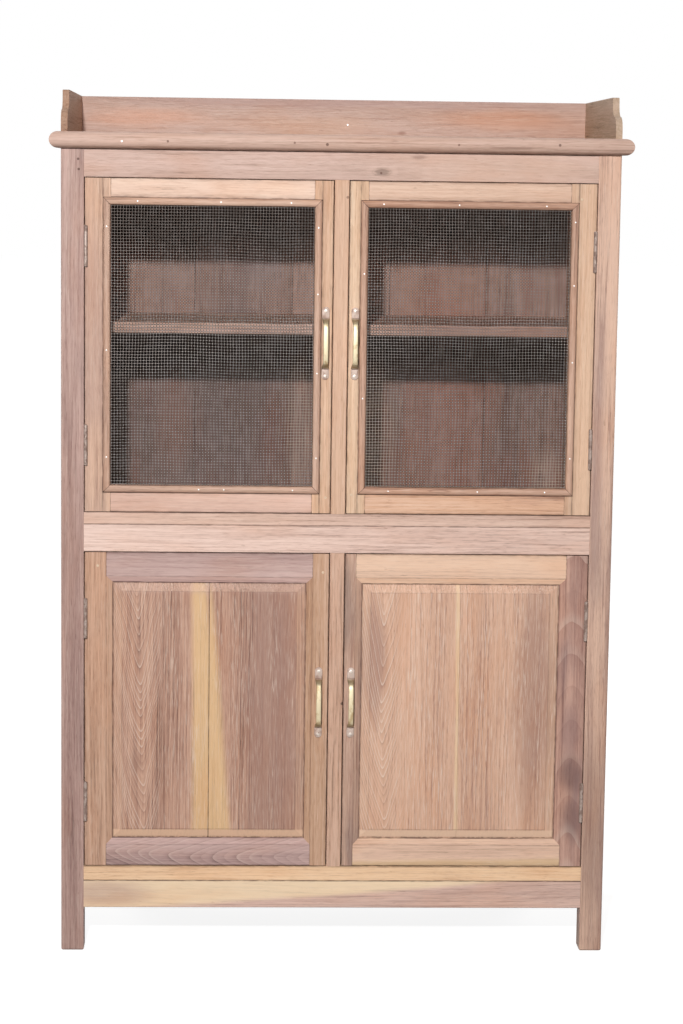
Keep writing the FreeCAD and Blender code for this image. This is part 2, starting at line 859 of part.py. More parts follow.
def raised_panel(door):
    """Raised and fielded panel of two boards: a tongue all round, a sloping bevel and a flat field."""
    x_span, z_span = opening_spans(door)
    reach = groove_depth - tongue_clearance
    sheet = block(grown(x_span, reach), (groove_setback, groove_setback + tongue_thickness),
                  grown(z_span, reach))
    inset = tongue_clearance + field_bevel
    field = Part.makeLoft([
        rectangle_at(groove_setback, grown(x_span, -tongue_clearance), grown(z_span, -tongue_clearance)),
        rectangle_at(groove_setback - field_rise, grown(x_span, -inset), grown(z_span, -inset)),
    ], True, True)
    panel = sheet.fuse(field).removeSplitter()
    seam = x_span[0] + seam_share * (x_span[1] - x_span[0])
    saw = block(grown((seam, seam), seam_gap / 2), (-overrun, door_thickness),
                grown(z_span, groove_depth + overrun))
    return panel.cut(saw).Solids


def build_door(door):
    members = frame_members(door)
    if door["edge_width"] > 0:
        edge_cut = moulded_edge_cut(door)
        groove = panel_groove(door)
        members = {name: shape.cut(edge_cut).cut(groove) for name, shape in members.items()}
    pieces = {name: [shape] for name, shape in members.items()}
    if door["edge_width"] > 0:
        pieces["panel"] = raised_panel(door)
    else:
        pieces["wire_mesh"] = [gauze(door)]
        pieces["beading"] = beading(door)
    pieces["handle"] = [handle(door)]
    pieces["handle_screws"] = handle_screws(door)
    pieces["hinge_leaves"] = [door_leaf(bottom) for bottom in hinge_levels(door)]
    if door["right_hand"]:
        pieces = {name: [mirrored_x(shape) for shape in shapes] for name, shapes in pieces.items()}
    return {door["name"] + "_" + name: shapes for name, shapes in pieces.items()}


def door_settings():
    upper = {
        "levels": grown((upper_opening_bottom, top_rail_bottom), -door_gap),
        "hinge_stile": upper_hinge_stile,
        "meeting_stile": upper_meeting_stile,
        "top_rail": upper_top_rail,
        "bottom_rail": upper_bottom_rail,
        "edge_width": 0,
        "handle_offset": upper_handle_offset,
        "handle_share": upper_handle_height_share,
    }
    lower = {
        "levels": grown((lower_opening_bottom, middle_rail_bottom), -door_gap),
        "top_rail": lower_top_rail,
        "bottom_rail": lower_bottom_rail,
        "edge_width": moulding_width,
        "handle_share": lower_handle_height_share,
    }
    lower_left = {
        "hinge_stile": lower_left_hinge_stile,
        "meeting_stile": lower_left_meeting_stile,
        "handle_offset": lower_left_handle_offset,
    }
    lower_right = {
        "hinge_stile": lower_right_hinge_stile,
        "meeting_stile": lower_right_meeting_stile,
        "handle_offset": lower_right_handle_offset,
    }
    return [
        dict(upper, name="upper_left_door", right_hand=False),
        dict(upper, name="upper_right_door", right_hand=True),
        dict(lower, name="lower_left_door", right_hand=False, **lower_left),
        dict(lower, name="lower_right_door", right_hand=True, **lower_right),
    ]


def build_hinges(doors):
    """Post leaves and pins, which stay with the carcass."""
    leaves = []
    pins = []
    for door in doors:
        for bottom in hinge_levels(door):
            pair = (post_leaf(bottom), hinge_pin(bottom))
            if door["right_hand"]:
                pair = tuple(mirrored_x(shape) for shape in pair)
            leaves.append(pair[0])
            pins.append(pair[1])
    return {"post_hinge_leaves": leaves, "hinge_pins": pins}


def export(pieces):
    os.makedirs("parts", exist_ok=True)
    for name, shapes in pieces.items():
        shape = shapes[0] if len(shapes) == 1 else Part.makeCompound(shapes)
        shape.translate(Vector(0, depth_shift, 0))
        shape.exportStep("parts/" + name + ".step")


doors = door_settings()
pieces = build_carcass()
pieces.update(build_hinges(doors))
for door in doors:
    pieces.update(build_door(door))
export(pieces)
print(len(pieces), "pieces, rest on the floor at zero, top at", overall_height)
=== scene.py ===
from math import pi, radians, sin

import bmesh
import bpy
from mathutils import Matrix, Vector


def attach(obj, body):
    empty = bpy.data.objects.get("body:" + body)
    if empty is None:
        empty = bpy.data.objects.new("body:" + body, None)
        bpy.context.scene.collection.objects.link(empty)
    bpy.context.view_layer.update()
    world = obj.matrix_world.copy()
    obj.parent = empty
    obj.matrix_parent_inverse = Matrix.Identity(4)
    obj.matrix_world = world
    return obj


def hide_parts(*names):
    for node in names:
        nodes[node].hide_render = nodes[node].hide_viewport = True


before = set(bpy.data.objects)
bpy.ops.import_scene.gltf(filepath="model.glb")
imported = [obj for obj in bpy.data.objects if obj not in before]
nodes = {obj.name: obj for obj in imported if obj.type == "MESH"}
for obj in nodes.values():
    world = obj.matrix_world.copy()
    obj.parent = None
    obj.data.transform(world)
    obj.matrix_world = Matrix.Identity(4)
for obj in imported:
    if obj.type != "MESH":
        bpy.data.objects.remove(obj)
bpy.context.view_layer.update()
print("frame loaded,", len(nodes), "nodes")

front = -0.2085  # y of the front face of posts and rails, metres


# shader maths

class Flow:  # a node socket that can be written into sums
    def __init__(self, tree, socket):
        self.tree, self.socket = tree, socket

    def node(self, kind, settings=None, plugs=None, out=0):
        made = self.tree.nodes.new(kind)
        for key, value in (settings or {}).items():
            if key == "stops":
                stops = made.color_ramp.elements
                stops.remove(stops[1])
                stops[0].position, stops[0].color = value[0]
                for place, colour in value[1:]:
                    stops.new(place).color = colour
            else:
                setattr(made, key, value)
        for key, value in (plugs or {}).items():
            if isinstance(value, Flow):
                self.tree.links.new(value.socket, made.inputs[key])
            else:
                made.inputs[key].default_value = value
        return Flow(self.tree, made.outputs[out] if made.outputs else None)

    def also(self, out):  # another output of the same node
        return Flow(self.tree, self.socket.node.outputs[out])

    def maths(self, how, other=0.0, turned=False):
        first, second = (other, self) if turned else (self, other)
        return self.node("ShaderNodeMath", {"operation": how}, {0: first, 1: second})

    def __add__(self, other):
        return self.maths("ADD", other)

    def __sub__(self, other):
        return self.maths("SUBTRACT", other)

    def __rsub__(self, other):
        return self.maths("SUBTRACT", other, True)

    def __mul__(self, other):
        return self.maths("MULTIPLY", other)

    def __truediv__(self, other):
        return self.maths("DIVIDE", other)

    __radd__ = __add__
    __rmul__ = __mul__

    def root(self):
        return self.maths("SQRT")

    def size(self):
        return self.maths("ABSOLUTE")

    def ease(self, low, high):  # 0 below low, 1 above high, smooth between
        return self.node("ShaderNodeMapRange", {"interpolation_type": "SMOOTHSTEP"},
                         {"Value": self, "From Min": low, "From Max": high})

    def fade(self, low, high):  # 1 below low, 0 above high
        return 1 - self.ease(low, high)

    def pick(self, first, second):  # first where self is 0, second where it is 1
        return self.node("ShaderNodeMix", {"data_type": "FLOAT"}, {0: self, 2: first, 3: second})

    def tint(self, first, second, blend="MIX"):  # the same for colours
        return self.node("ShaderNodeMix", {"data_type": "RGBA", "blend_type": blend},
                         {0: self, 6: first, 7: second}, 2)

    def ramp(self, *stops):
        return self.node("ShaderNodeValToRGB", {"stops": stops}, {0: self})

    def chance(self):  # a random number for each value
        return self.node("ShaderNodeTexWhiteNoise", {"noise_dimensions": "1D"}, {"W": self})

    def bump(self, strength, depth):
        return self.node("ShaderNodeBump", None, {"Strength": strength, "Distance": depth, "Height": self})


def tone(red, green, blue):  # colour as it looks on screen, 0 to 255
    parts = [value / 255 for value in (red, green, blue)]
    return tuple(v / 12.92 if v < 0.04045 else ((v + 0.055) / 1.055) ** 2.4 for v in parts) + (1.0,)


def scaled(colour, share):  # deeper or paler
    return tuple(value * share for value in colour[:3]) + (1.0,)


def axesOf(place):
    x = place.node("ShaderNodeSeparateXYZ", None, {0: place})
    return {"x": x, "y": x.also(1), "z": x.also(2)}


def newMaterial(name):
    made = bpy.data.materials.new(name)
    made.use_nodes = True
    tree = made.node_tree
    tree.nodes.clear()
    place = Flow(tree, tree.nodes.new("ShaderNodeTexCoord").outputs["Object"])
    return made, place, axesOf(place)


def closeMaterial(place, plugs):
    shader = place.node("ShaderNodeBsdfPrincipled", None, plugs)
    place.node("ShaderNodeOutputMaterial", None, {"Surface": shader})


def dress(piece, material):
    piece.data.materials.clear()
    piece.data.materials.append(material)


def distance(u, v):
    return (u * u + v * v).root()


def cloud(u, v, w, detail=2.0, rough=0.5):  # soft noise about 0.5, the stretch is in u, v, w
    spot = u.node("ShaderNodeCombineXYZ", None, {0: u, 1: v, 2: w})
    return u.node("ShaderNodeTexNoise", None, {"Vector": spot, "Scale": 1.0, "Detail": detail, "Roughness": rough})


# planed old teak

teakBasics = {
    "grain": "zxy",  # axes along, across and through the board
    "dark": (150, 118, 104), "mid": (196, 161, 141), "light": (220, 187, 165),
    "seed": 0.0,
    "streaks": (170.0, 0.54, 0.74),  # dark hairs to the metre, and the noise where they start and are full
    "rings": 110.0,  # growth lines to the metre
    "ringGain": 0.18, "bandGain": 1.25, "fibreGain": 0.85,  # how strongly each mark shows
    "streakGain": 0.26, "poreGain": 0.22, "dashGain": 0.22,
    "wander": 0.016,  # how far the grain drifts sideways, metres
    "figure": None,  # arched grain: its centre, start and way, slope, lean, rings, roundness of the tip, last lane
    "boards": None,  # several boards in one node: start, width, shift
    "corner": None,  # mitred beads: middle and half size of their opening, bead width
    "field": None,  # raised panel: x and z of its flat middle, bevel width and tone
    "sap": None,  # pale outer wood: tone, low and high edge, softness, and both slants
    "fade": None,  # slow change along the board: from, to, amount
    "stain": None,  # grey or mauve patches: tone, amount, size
    "blotsAndShadows": (),  # soft single patches, a few of them painted shadow: along, across, both sizes, tone, amount
    "inside": None,  # axis and place that part the inner face, which alone has the patches, the painted shadows and the slow change
    "oil": 0.55, "scuffs": 0.5,  # warm patches of old oil, and short dark knocks
    "joints": (),  # places along the board where another meets it
    "dirtAndShadeLines": (),  # lines of dirt and painted shade: axis, place, reach, amount
    "spots": (), "knots": (),  # along, across, size, and a spot's tone or a knot's depth
    "weatherAndPaintedLight": (),  # darker or paler sides, from weathering and from painted light and shade: axis, place, brightness left, and 1 or -1 for which way
    "edge": None,  # both long edges, where hands have rubbed it pale
    "rough": 0.58,
}
teakNoise = {  # cells to the metre along and across the grain, detail, roughness
    "drift": (1.3, 6.0, 2.0, 0.5), "band": (0.9, 24.0, 3.0, 0.5), "ripple": (7.0, 30.0, 2.0, 0.5),
    "patchy": (2.5, 40.0, 1.0, 0.5), "fibre": (9.0, 330.0, 3.0, 0.65), "pore": (48.0, 1150.0, 1.0, 0.5),
    "dash": (30.0, 1100.0, 1.0, 0.5), "oil": (5.0, 17.0, 3.0, 0.5), "knock": (34.0, 140.0, 3.0, 0.7),
}
oilTint, knockTint = (0.95, 0.83, 0.74, 1), (0.58, 0.5, 0.46, 1)
dashTone, dirtAndShadeTone = tone(240, 222, 206), tone(78, 52, 42)


def teak(name, **changes):
    look = dict(teakBasics, **changes)
    made, place, axes = newMaterial(name)
    along, across, deep = (axes[letter] for letter in look["grain"])
    dirtAndShadeMasks = []  # where dirt has gathered and where shade is painted into creases, put on near the end
    if look["corner"]:  # the grain turns at the mitres
        (midX, midZ), (halfX, halfZ), width = look["corner"]
        sideways, upwards = (axes["x"] - midX).size() - halfX, (axes["z"] - midZ).size() - halfZ
        mitre, outward = sideways - upwards, sideways.maths("MAXIMUM", upwards)
        upright = mitre.ease(-0.0001, 0.0001)
        along, across = upright.pick(axes["x"], axes["z"]), upright.pick(axes["z"], axes["x"])
        # dark lines at the mitre joints, and dirt and painted shade along both edges of the beads, where they meet the
        # frame and the gauze
        dirtAndShadeMasks += [mitre.size().fade(0.0003, 0.0012), outward.fade(0.0, 0.0016), outward.ease(width - 0.0022, width)]
    run, breadth = along, across  # as measured on the cupboard
    inner = 1.0
    if look["inside"]:
        letter, at = look["inside"]
        inner = (axes[letter] - at).fade(-0.0005, 0.0005)

    # every board is cut from its own part of the tree
    seed = look["seed"] * 1.37
    along, deep = along + seed, deep + seed * 0.7
    shift = None
    if look["boards"]:
        start, width, gain = look["boards"]
        chance = (((across - start) / width).maths("FLOOR") + seed).chance()
        along, deep = along + chance * 9.0, deep + chance * 5.0
        shift = (chance - 0.5) * gain

    def noise(key, sideways, ahead=0.0):
        runs, lanes, detail, rough = teakNoise[key]
        start = along * runs + ahead if ahead else along * runs
        return cloud(start, sideways * lanes, deep * lanes, detail, rough)

    drift = noise("drift", across) - 0.5
    lane = across + drift * look["wander"]
    band = noise("band", lane) - 0.5
    ripple = noise("ripple", across) - 0.5
    ring = (lane + deep * 0.6) * look["rings"] + ripple * 0.9 + band * 5.0
    knotDarks = []
    for knotRun, knotLane, knotSize, depth in look["knots"]:
        gap = distance((run - knotRun) * 0.45 + drift * 0.01, lane - knotLane + ripple * 0.006)
        ring = gap.fade(knotSize * 0.9, knotSize * 2.4).pick(ring, gap * look["rings"] * 1.5 + ripple)
        knotDarks.append(gap.fade(knotSize * 0.2, knotSize * 0.7) * depth)
    late = 1 - ring.maths("FRACT")
    patchy = noise("patchy", across).ease(0.32, 0.62)
    line = late * late * late * (patchy * 0.8 + 0.2)  # sharp on one side, as late wood is

    fibre = noise("fibre", lane) - 0.5
    count, low, high = look["streaks"]
    streak = cloud(along * 5.0, lane * count, deep * count).ease(low, high)
    pore = noise("pore", lane).ease(0.56, 0.7)
    dash = noise("dash", lane, 3.1).ease(0.56, 0.68) * (patchy * 0.6 + 0.3)
    if look["figure"]:  # the saw runs slowly out of the growth rings
        arch = look["figure"]
        sideways = lane - arch["centre"] + ripple * 0.01 + drift * 0.04 - (run - arch["from"]) * arch["lean"]
        runOut = (run + drift * 0.2 - arch["from"]) * (arch["way"] * arch["slope"])
        arched = ((sideways * sideways + arch["tip"] ** 2).root() + runOut + ripple * 0.006) * arch["rings"]
        strong, early = arched.maths("FLOOR").chance(), arched.maths("FRACT")
        bare = (lane + drift * 0.05).fade(arch["until"] - 0.02, arch["until"] + 0.02)
        line = bare.pick(line, (1 - early) * (1 - early) * (strong * 1.1 + 0.1))
        dash = bare.pick(dash, early.ease(0.62, 0.95) * strong.fade(0.2, 0.7) * 0.8 + dash * 0.4)  # pale early wood

    # one level from dark to light, then the colours
    balance = 0.5 + look["ringGain"] * 0.16 + look["streakGain"] * 0.2 + look["poreGain"] * 0.2
    level = band * look["bandGain"] + fibre * look["fibreGain"] - line * look["ringGain"] - streak * look["streakGain"]
    level = level - pore * look["poreGain"] + balance
    if shift:
        level = level + shift
    if look["fade"]:
        low, high, amount = look["fade"]
        level = level + run.ease(low, high) * (inner * amount)
    for knotDark in knotDarks:
        level = level - knotDark
    dark, mid, light = (tone(*look[key]) for key in ("dark", "mid", "light"))
    colour = level.ramp((0.0, scaled(dark, 0.6)), (0.2, dark), (0.5, mid), (0.8, light), (1.0, scaled(light, 1.1)))
    if look["sap"]:
        sapTone, low, high, edge, lowSlant, highSlant = look["sap"]
        sap, wave = tone(*sapTone), breadth + drift * 0.03 + fibre * 0.004
        lower, upper = wave - run * lowSlant, wave - run * highSlant
        stripe = lower.ease(low - edge, low + edge) * upper.fade(high - edge, high + edge)
        colour = stripe.tint(colour, level.ramp((0.05, scaled(sap, 0.84)), (0.5, sap), (0.95, scaled(sap, 1.08))))
    if look["stain"]:
        stainTone, amount, spread = look["stain"]
        patch = cloud(along * 3.0 / spread, across * 13.0 / spread, deep * 13.0 / spread, 3.0).ease(0.48, 0.72)
        colour = (patch * amount).tint(colour, tone(*stainTone))
    for blotRun, blotLane, longSize, wideSize, blotAndShadowTone, amount in look["blotsAndShadows"]:
        out = distance((run - blotRun) / longSize + drift * 1.2, (breadth - blotLane) / wideSize + ripple * 0.8)
        colour = (out.fade(0.25, 1.0) * (fibre + 1.0) * (inner * amount)).tint(colour, tone(*blotAndShadowTone))
    oily, knock = noise("oil", across, 7.7).ease(0.46, 0.72), noise("knock", lane).ease(0.66, 0.76)
    colour = (oily * look["oil"]).tint(colour, oilTint, "MULTIPLY")
    colour = (knock * look["scuffs"]).tint(colour, knockTint, "MULTIPLY")
    colour = (dash * look["dashGain"]).tint(colour, dashTone)

    # worn, weathered and dirty places, and painted light and shade
    if look["field"]:
        (x0, x1), (z0, z1), bevel, bevelTone = look["field"]
        below, above = axes["z"] * -1 + z0, axes["z"] - z1
        out = (axes["x"] * -1 + x0).maths("MAXIMUM", axes["x"] - x1)
        out = out.maths("MAXIMUM", below).maths("MAXIMUM", above) + ripple * 0.002
        # the bevels are paler wood all round; the downward-facing bottom bevel is made much paler and the
        # upward-facing top bevel less pale, as painted light
        paleAndPaintedLight = below.ease(0.0, 0.004) * 0.75 - above.ease(0.0, 0.004) * 0.1 + 0.2 + fibre * 0.5
        colour = (out.ease(-0.0008, 0.0016) * paleAndPaintedLight).tint(colour, tone(*bevelTone))
        # a painted shadow line where the flat middle meets the bevel, and a dark line of dirt and shade where the
        # bevel goes into the frame
        dirtAndShadeMasks += [out.size().fade(0.0002, 0.0018) * 0.25, out.ease(bevel - 0.0032, bevel - 0.0004) * 0.75]
    for letter, at, left, way in look["weatherAndPaintedLight"]:
        weatheredAndLitSide = ((axes[letter] - at) * way).ease(-0.0005, 0.0005)
        colour = weatheredAndLitSide.tint(colour, colour.node("ShaderNodeHueSaturation", None, {
            "Saturation": 1.05, "Value": left, "Color": colour}))
    if look["edge"]:
        low, high = look["edge"]
        rim = (breadth - low).size().maths("MINIMUM", (breadth - high).size()).fade(0.0004, 0.004)
        colour = (rim * (ripple * 1.5 + 0.5) * 0.4).tint(colour, scaled(light, 1.12))
    dirtAndShadeMasks += [(run - joint).size().fade(0.0003, 0.0014) * 0.7 for joint in look["joints"]]
    dirtAndShadeMasks += [(axes[letter] - at).size().fade(reach * 0.15, reach) * amount
              for letter, at, reach, amount in look["dirtAndShadeLines"]]
    if dirtAndShadeMasks:
        fleck = cloud(run * 45.0, breadth * 160.0, deep * 160.0).ease(0.3, 0.62)
        colour = (sum(dirtAndShadeMasks[1:], dirtAndShadeMasks[0]) * (fleck * 0.6 + 0.3)).tint(colour, dirtAndShadeTone)
    for spotRun, spotLane, spotSize, spotTone in look["spots"]:
        mark = distance(run - spotRun, breadth - spotLane).fade(spotSize * 0.7, spotSize * 1.2)
        colour = (mark * 0.85).tint(colour, tone(*spotTone))
    height = fibre * 0.6 - line * 0.35 - pore * 0.8 - streak * 0.4
    closeMaterial(place, {"Base Color": colour, "Roughness": level * -0.12 + (look["rough"] + 0.06),
                          "Normal": height.bump(0.4, 0.0006), "Specular IOR Level": 0.3})
    return made


timber = {  # every wooden node, in the order that the cupboard goes together
    "front_left_post": {"dark": (147, 114, 106), "mid": (176, 143, 133), "light": (197, 164, 153), "seed": 1.0,
                        "rings": 150, "fade": (0.1, 1.3, 0.04), "stain": ((140, 118, 114), 0.6, 1.0),
                        "edge": (-0.51, -0.468),
                        "spots": ((1.4749, -0.4785, 0.0024, (88, 62, 52)), (1.4566, -0.4774, 0.0024, (88, 62, 52)))},
    "front_right_post": {"dark": (150, 116, 103), "mid": (181, 145, 129), "light": (217, 180, 158), "seed": 2.0,
                         "fade": (0.05, 1.35, 0.28), "stain": ((150, 122, 116), 0.6, 1.2), "edge": (0.468, 0.51),
                         "blotsAndShadows": ((1.0, 0.478, 0.3, 0.02, (160, 130, 124), 0.5),
                                   (0.25, 0.485, 0.25, 0.03, (150, 118, 104), 0.5))},
    "rear_left_post": {"seed": 3.0}, "rear_right_post": {"seed": 4.0},
    "bottom_front_rail": {"grain": "xzy", "dark": (183, 148, 137), "mid": (209, 175, 161), "light": (232, 196, 180),
                          "seed": 5.0, "wander": 0.03, "sap": ((247, 218, 184), 0.113, 0.15, 0.006, 0.08, 0.0),
                          "blotsAndShadows": ((-0.43, 0.108, 0.12, 0.034, (202, 168, 150), 0.65),),
                          "dirtAndShadeLines": (("z", 0.135, 0.0022, 0.9), ("z", 0.083, 0.002, 0.4))},
    "middle_front_rail": {"grain": "xzy", "dark": (210, 176, 161), "mid": (235, 203, 188), "light": (250, 220, 207),
                          "seed": 6.0, "fade": (-0.45, 0.45, -0.15),
                          "dirtAndShadeLines": (("z", 0.809, 0.0022, 0.7), ("z", 0.758, 0.0015, 0.5))},
    "top_front_rail": {"grain": "xzy", "dark": (188, 157, 143), "mid": (207, 175, 161), "light": (218, 187, 175),
                       "seed": 7.0, "rings": 90, "wander": 0.02, "bandGain": 0.9,
                       "knots": ((0.0698, 1.4566, 0.014, 0.6),),
                       "blotsAndShadows": ((0.27, 1.468, 0.34, 0.08, (214, 178, 156), 0.5),
                                 (0.136, 1.486, 0.02, 0.006, (150, 118, 104), 0.6)),
                       # painted shadow line under the nosing
                       "spots": ((0.0705, 1.4566, 0.0022, (110, 80, 68)),), "dirtAndShadeLines": (("z", 1.494, 0.004, 0.6),)},
    "lower_floor": {"grain": "xzy", "dark": (206, 162, 128), "mid": (239, 198, 159), "light": (253, 214, 175),
                    "seed": 8.0, "weatherAndPaintedLight": (("y", front + 0.03, 0.2, 1),),
                    "dirtAndShadeLines": (("z", 0.135, 0.0022, 0.9), ("z", 0.163, 0.0035, 0.6))},
    "upper_floor": {"grain": "xzy", "dark": (196, 161, 144), "mid": (221, 187, 169), "light": (233, 198, 180),
                    "seed": 9.0, "weatherAndPaintedLight": (("y", front + 0.03, 0.2, 1),),
                    "dirtAndShadeLines": (("z", 0.809, 0.0022, 0.7), ("z", 0.831, 0.0025, 0.5))},
    "upper_shelf": {"grain": "xyz", "dark": (162, 129, 115), "mid": (192, 156, 139), "light": (215, 179, 163),
                    # painted light: the top is made paler, standing in for light grazing it; the underside is darker,
                    # as the other inner faces are
                    "seed": 10.0, "weatherAndPaintedLight": (("z", 1.159, 0.2, -1), ("z", 1.1762, 1.4, 1)),
                    "blotsAndShadows": ((0.25, 0.0, 0.3, 9.0, (172, 128, 112), 0.7),)},
    "shelf_bearers": {"grain": "yzx", "dark": (96, 72, 60), "mid": (132, 100, 84), "light": (150, 118, 100),
                      "seed": 11.0},
    "rear_rails": {"grain": "xzy", "seed": 12.0, "weatherAndPaintedLight": (("y", 0.2095, 0.2, -1),)},
    "left_side_rails": {"grain": "yzx", "seed": 13.0, "weatherAndPaintedLight": (("x", -0.486, 0.2, 1),)},
    "right_side_rails": {"grain": "yzx", "seed": 14.0, "weatherAndPaintedLight": (("x", 0.486, 0.2, -1),)},
    "left_side_panels": {"grain": "zyx", "seed": 15.0, "dark": (150, 117, 101), "mid": (190, 154, 132),
                         "light": (212, 177, 153), "boards": (-0.2, 0.19, 0.3), "weatherAndPaintedLight": (("x", -0.495, 0.2, 1),)},
    "right_side_panels": {"grain": "zyx", "seed": 16.0, "dark": (150, 117, 101), "mid": (190, 154, 132),
                          "light": (212, 177, 153), "boards": (-0.2, 0.19, 0.3), "weatherAndPaintedLight": (("x", 0.495, 0.2, -1),)},
    "back_boards": {"dark": (104, 75, 64), "mid": (139, 106, 94), "light": (188, 151, 136), "seed": 17.0,
                    "bandGain": 0.9, "fibreGain": 0.6, "streakGain": 0.1, "oil": 0.8,
                    "boards": (-0.468, 0.194, 0.16), "fade": (1.0, 1.3, 0.26), "stain": ((150, 96, 80), 0.7, 0.6),
                    "blotsAndShadows": ((1.0, -0.24, 0.5, 0.2, (146, 124, 120), 0.5),
                              (1.3, -0.15, 0.12, 0.06, (160, 144, 144), 0.5),
                              (0.95, 0.1, 0.2, 0.05, (112, 84, 74), 0.6),
                              (1.25, 0.2, 0.3, 0.1, (182, 132, 110), 0.4),
                              (0.95, -0.23, 0.22, 0.24, (102, 82, 78), 0.5),
                              (0.97, -0.31, 0.14, 0.06, (180, 122, 98), 0.35),
                              (0.93, -0.11, 0.12, 0.05, (140, 88, 74), 0.4),
                              (1.0, 0.24, 0.34, 0.14, (178, 112, 90), 0.5),
                              # painted shadow, under the top and under the shelf, where the key lamp's shadow falls on
                              # the boards
                              (1.36, 0.0, 0.1, 9.0, (30, 21, 18), 0.85),
                              (1.105, 0.0, 0.078, 9.0, (30, 21, 18), 0.85)),
                    "dirtAndShadeLines": tuple(("x", seam, 0.0025, 0.9) for seam in (-0.274, -0.08, 0.114, 0.308)),
                    "weatherAndPaintedLight": (("y", 0.2316, 0.75, 1),), "inside": ("y", 0.2316)},
    "upper_centre_stile": {"dark": (197, 157, 130), "mid": (213, 174, 147), "light": (225, 186, 158), "seed": 18.0,
                           "spots": ((1.4121, 0.0105, 0.0026, (150, 112, 92)),)},
    "lower_centre_stile": {"dark": (178, 140, 118), "mid": (211, 171, 147), "light": (228, 190, 166), "seed": 19.0,
                           "spots": ((0.4745, 0.0125, 0.003, (70, 50, 42)),)},
    "top_board": {"grain": "xyz", "dark": (160, 128, 112), "mid": (196, 162, 144), "light": (214, 182, 162),
                  "seed": 20.0, "boards": (-0.2, 0.145, 0.25), "weatherAndPaintedLight": (("z", 1.4945, 0.35, -1),)},
    "front_nosing": {"grain": "xzy", "dark": (170, 137, 121), "mid": (198, 164, 147), "light": (215, 181, 165),
                     "seed": 21.0, "spots": ((-0.3162, 1.5082, 0.0022, (120, 90, 76)),
                                             (-0.0876, 1.5087, 0.002, (130, 98, 84)),
                                             (-0.0287, 1.5064, 0.0028, (104, 76, 64)),
                                             (0.2097, 1.5087, 0.002, (130, 98, 84)),
                                             (0.3932, 1.5108, 0.0026, (112, 84, 72))),
                     # painted shade along the underside of the nosing and on its lower, downward-facing part
                     "dirtAndShadeLines": (("z", 1.494, 0.005, 0.6),), "weatherAndPaintedLight": (("z", 1.4995, 0.86, -1),)},
    "gallery_left_side": {"grain": "yzx", "dark": (140, 104, 83), "mid": (165, 127, 103), "light": (181, 144, 120),
                          "seed": 22.0},
    "gallery_right_side": {"grain": "yzx", "dark": (148, 123, 101), "mid": (177, 150, 125), "light": (194, 167, 145),
                           "seed": 23.0},
    "gallery_back": {"grain": "xzy", "dark": (163, 132, 119), "mid": (186, 154, 139), "light": (195, 166, 153),
                     "seed": 24.0, "rings": 80, "wander": 0.03, "fibreGain": 0.6, "dirtAndShadeLines": (("z", 1.524, 0.006, 0.6),),
                     "blotsAndShadows": ((-0.38, 1.56, 0.16, 0.03, (214, 160, 132), 0.5),
                               (0.32, 1.565, 0.2, 0.03, (208, 154, 124), 0.5),
                               (0.0, 1.597, 0.7, 0.022, (178, 148, 142), 0.6),
                               (-0.05, 1.545, 0.2, 0.03, (198, 160, 136), 0.5),
                               (0.135, 1.536, 0.012, 0.006, (150, 112, 96), 0.7))},
}
doorTones = {  # dark, middle and light of each stile and rail
    "upper_left_door_hinge_stile": ((186, 148, 127), (217, 179, 154), (232, 193, 165)),
    "upper_left_door_meeting_stile": ((191, 151, 122), (216, 175, 146), (233, 197, 166)),
    "upper_left_door_top_rail": ((223, 188, 166), (239, 206, 185), (249, 219, 197)),
    "upper_left_door_bottom_rail": ((210, 172, 155), (222, 184, 166), (231, 193, 175)),
    "upper_right_door_hinge_stile": ((185, 144, 117), (211, 171, 142), (225, 188, 159)),
    "upper_right_door_meeting_stile": ((197, 158, 131), (224, 187, 155), (239, 207, 177)),
    "upper_right_door_top_rail": ((209, 172, 148), (221, 185, 162), (232, 198, 175)),
    "upper_right_door_bottom_rail": ((193, 148, 122), (221, 175, 144), (233, 193, 166)),
    "lower_left_door_hinge_stile": ((179, 138, 114), (205, 165, 140), (223, 182, 156)),
    "lower_left_door_meeting_stile": ((171, 130, 104), (197, 156, 127), (216, 178, 152)),
    "lower_left_door_top_rail": ((169, 139, 133), (189, 157, 150), (204, 173, 165)),
    "lower_left_door_bottom_rail": ((168, 138, 133), (192, 161, 154), (207, 174, 167)),
    "lower_right_door_hinge_stile": ((146, 107, 96), (175, 135, 121), (201, 160, 143)),
    "lower_right_door_meeting_stile": ((148, 110, 93), (181, 143, 125), (203, 167, 146)),
    "lower_right_door_top_rail": ((215, 179, 155), (234, 196, 169), (242, 205, 177)),
    "lower_right_door_bottom_rail": ((208, 172, 148), (230, 192, 169), (243, 207, 178)),
}
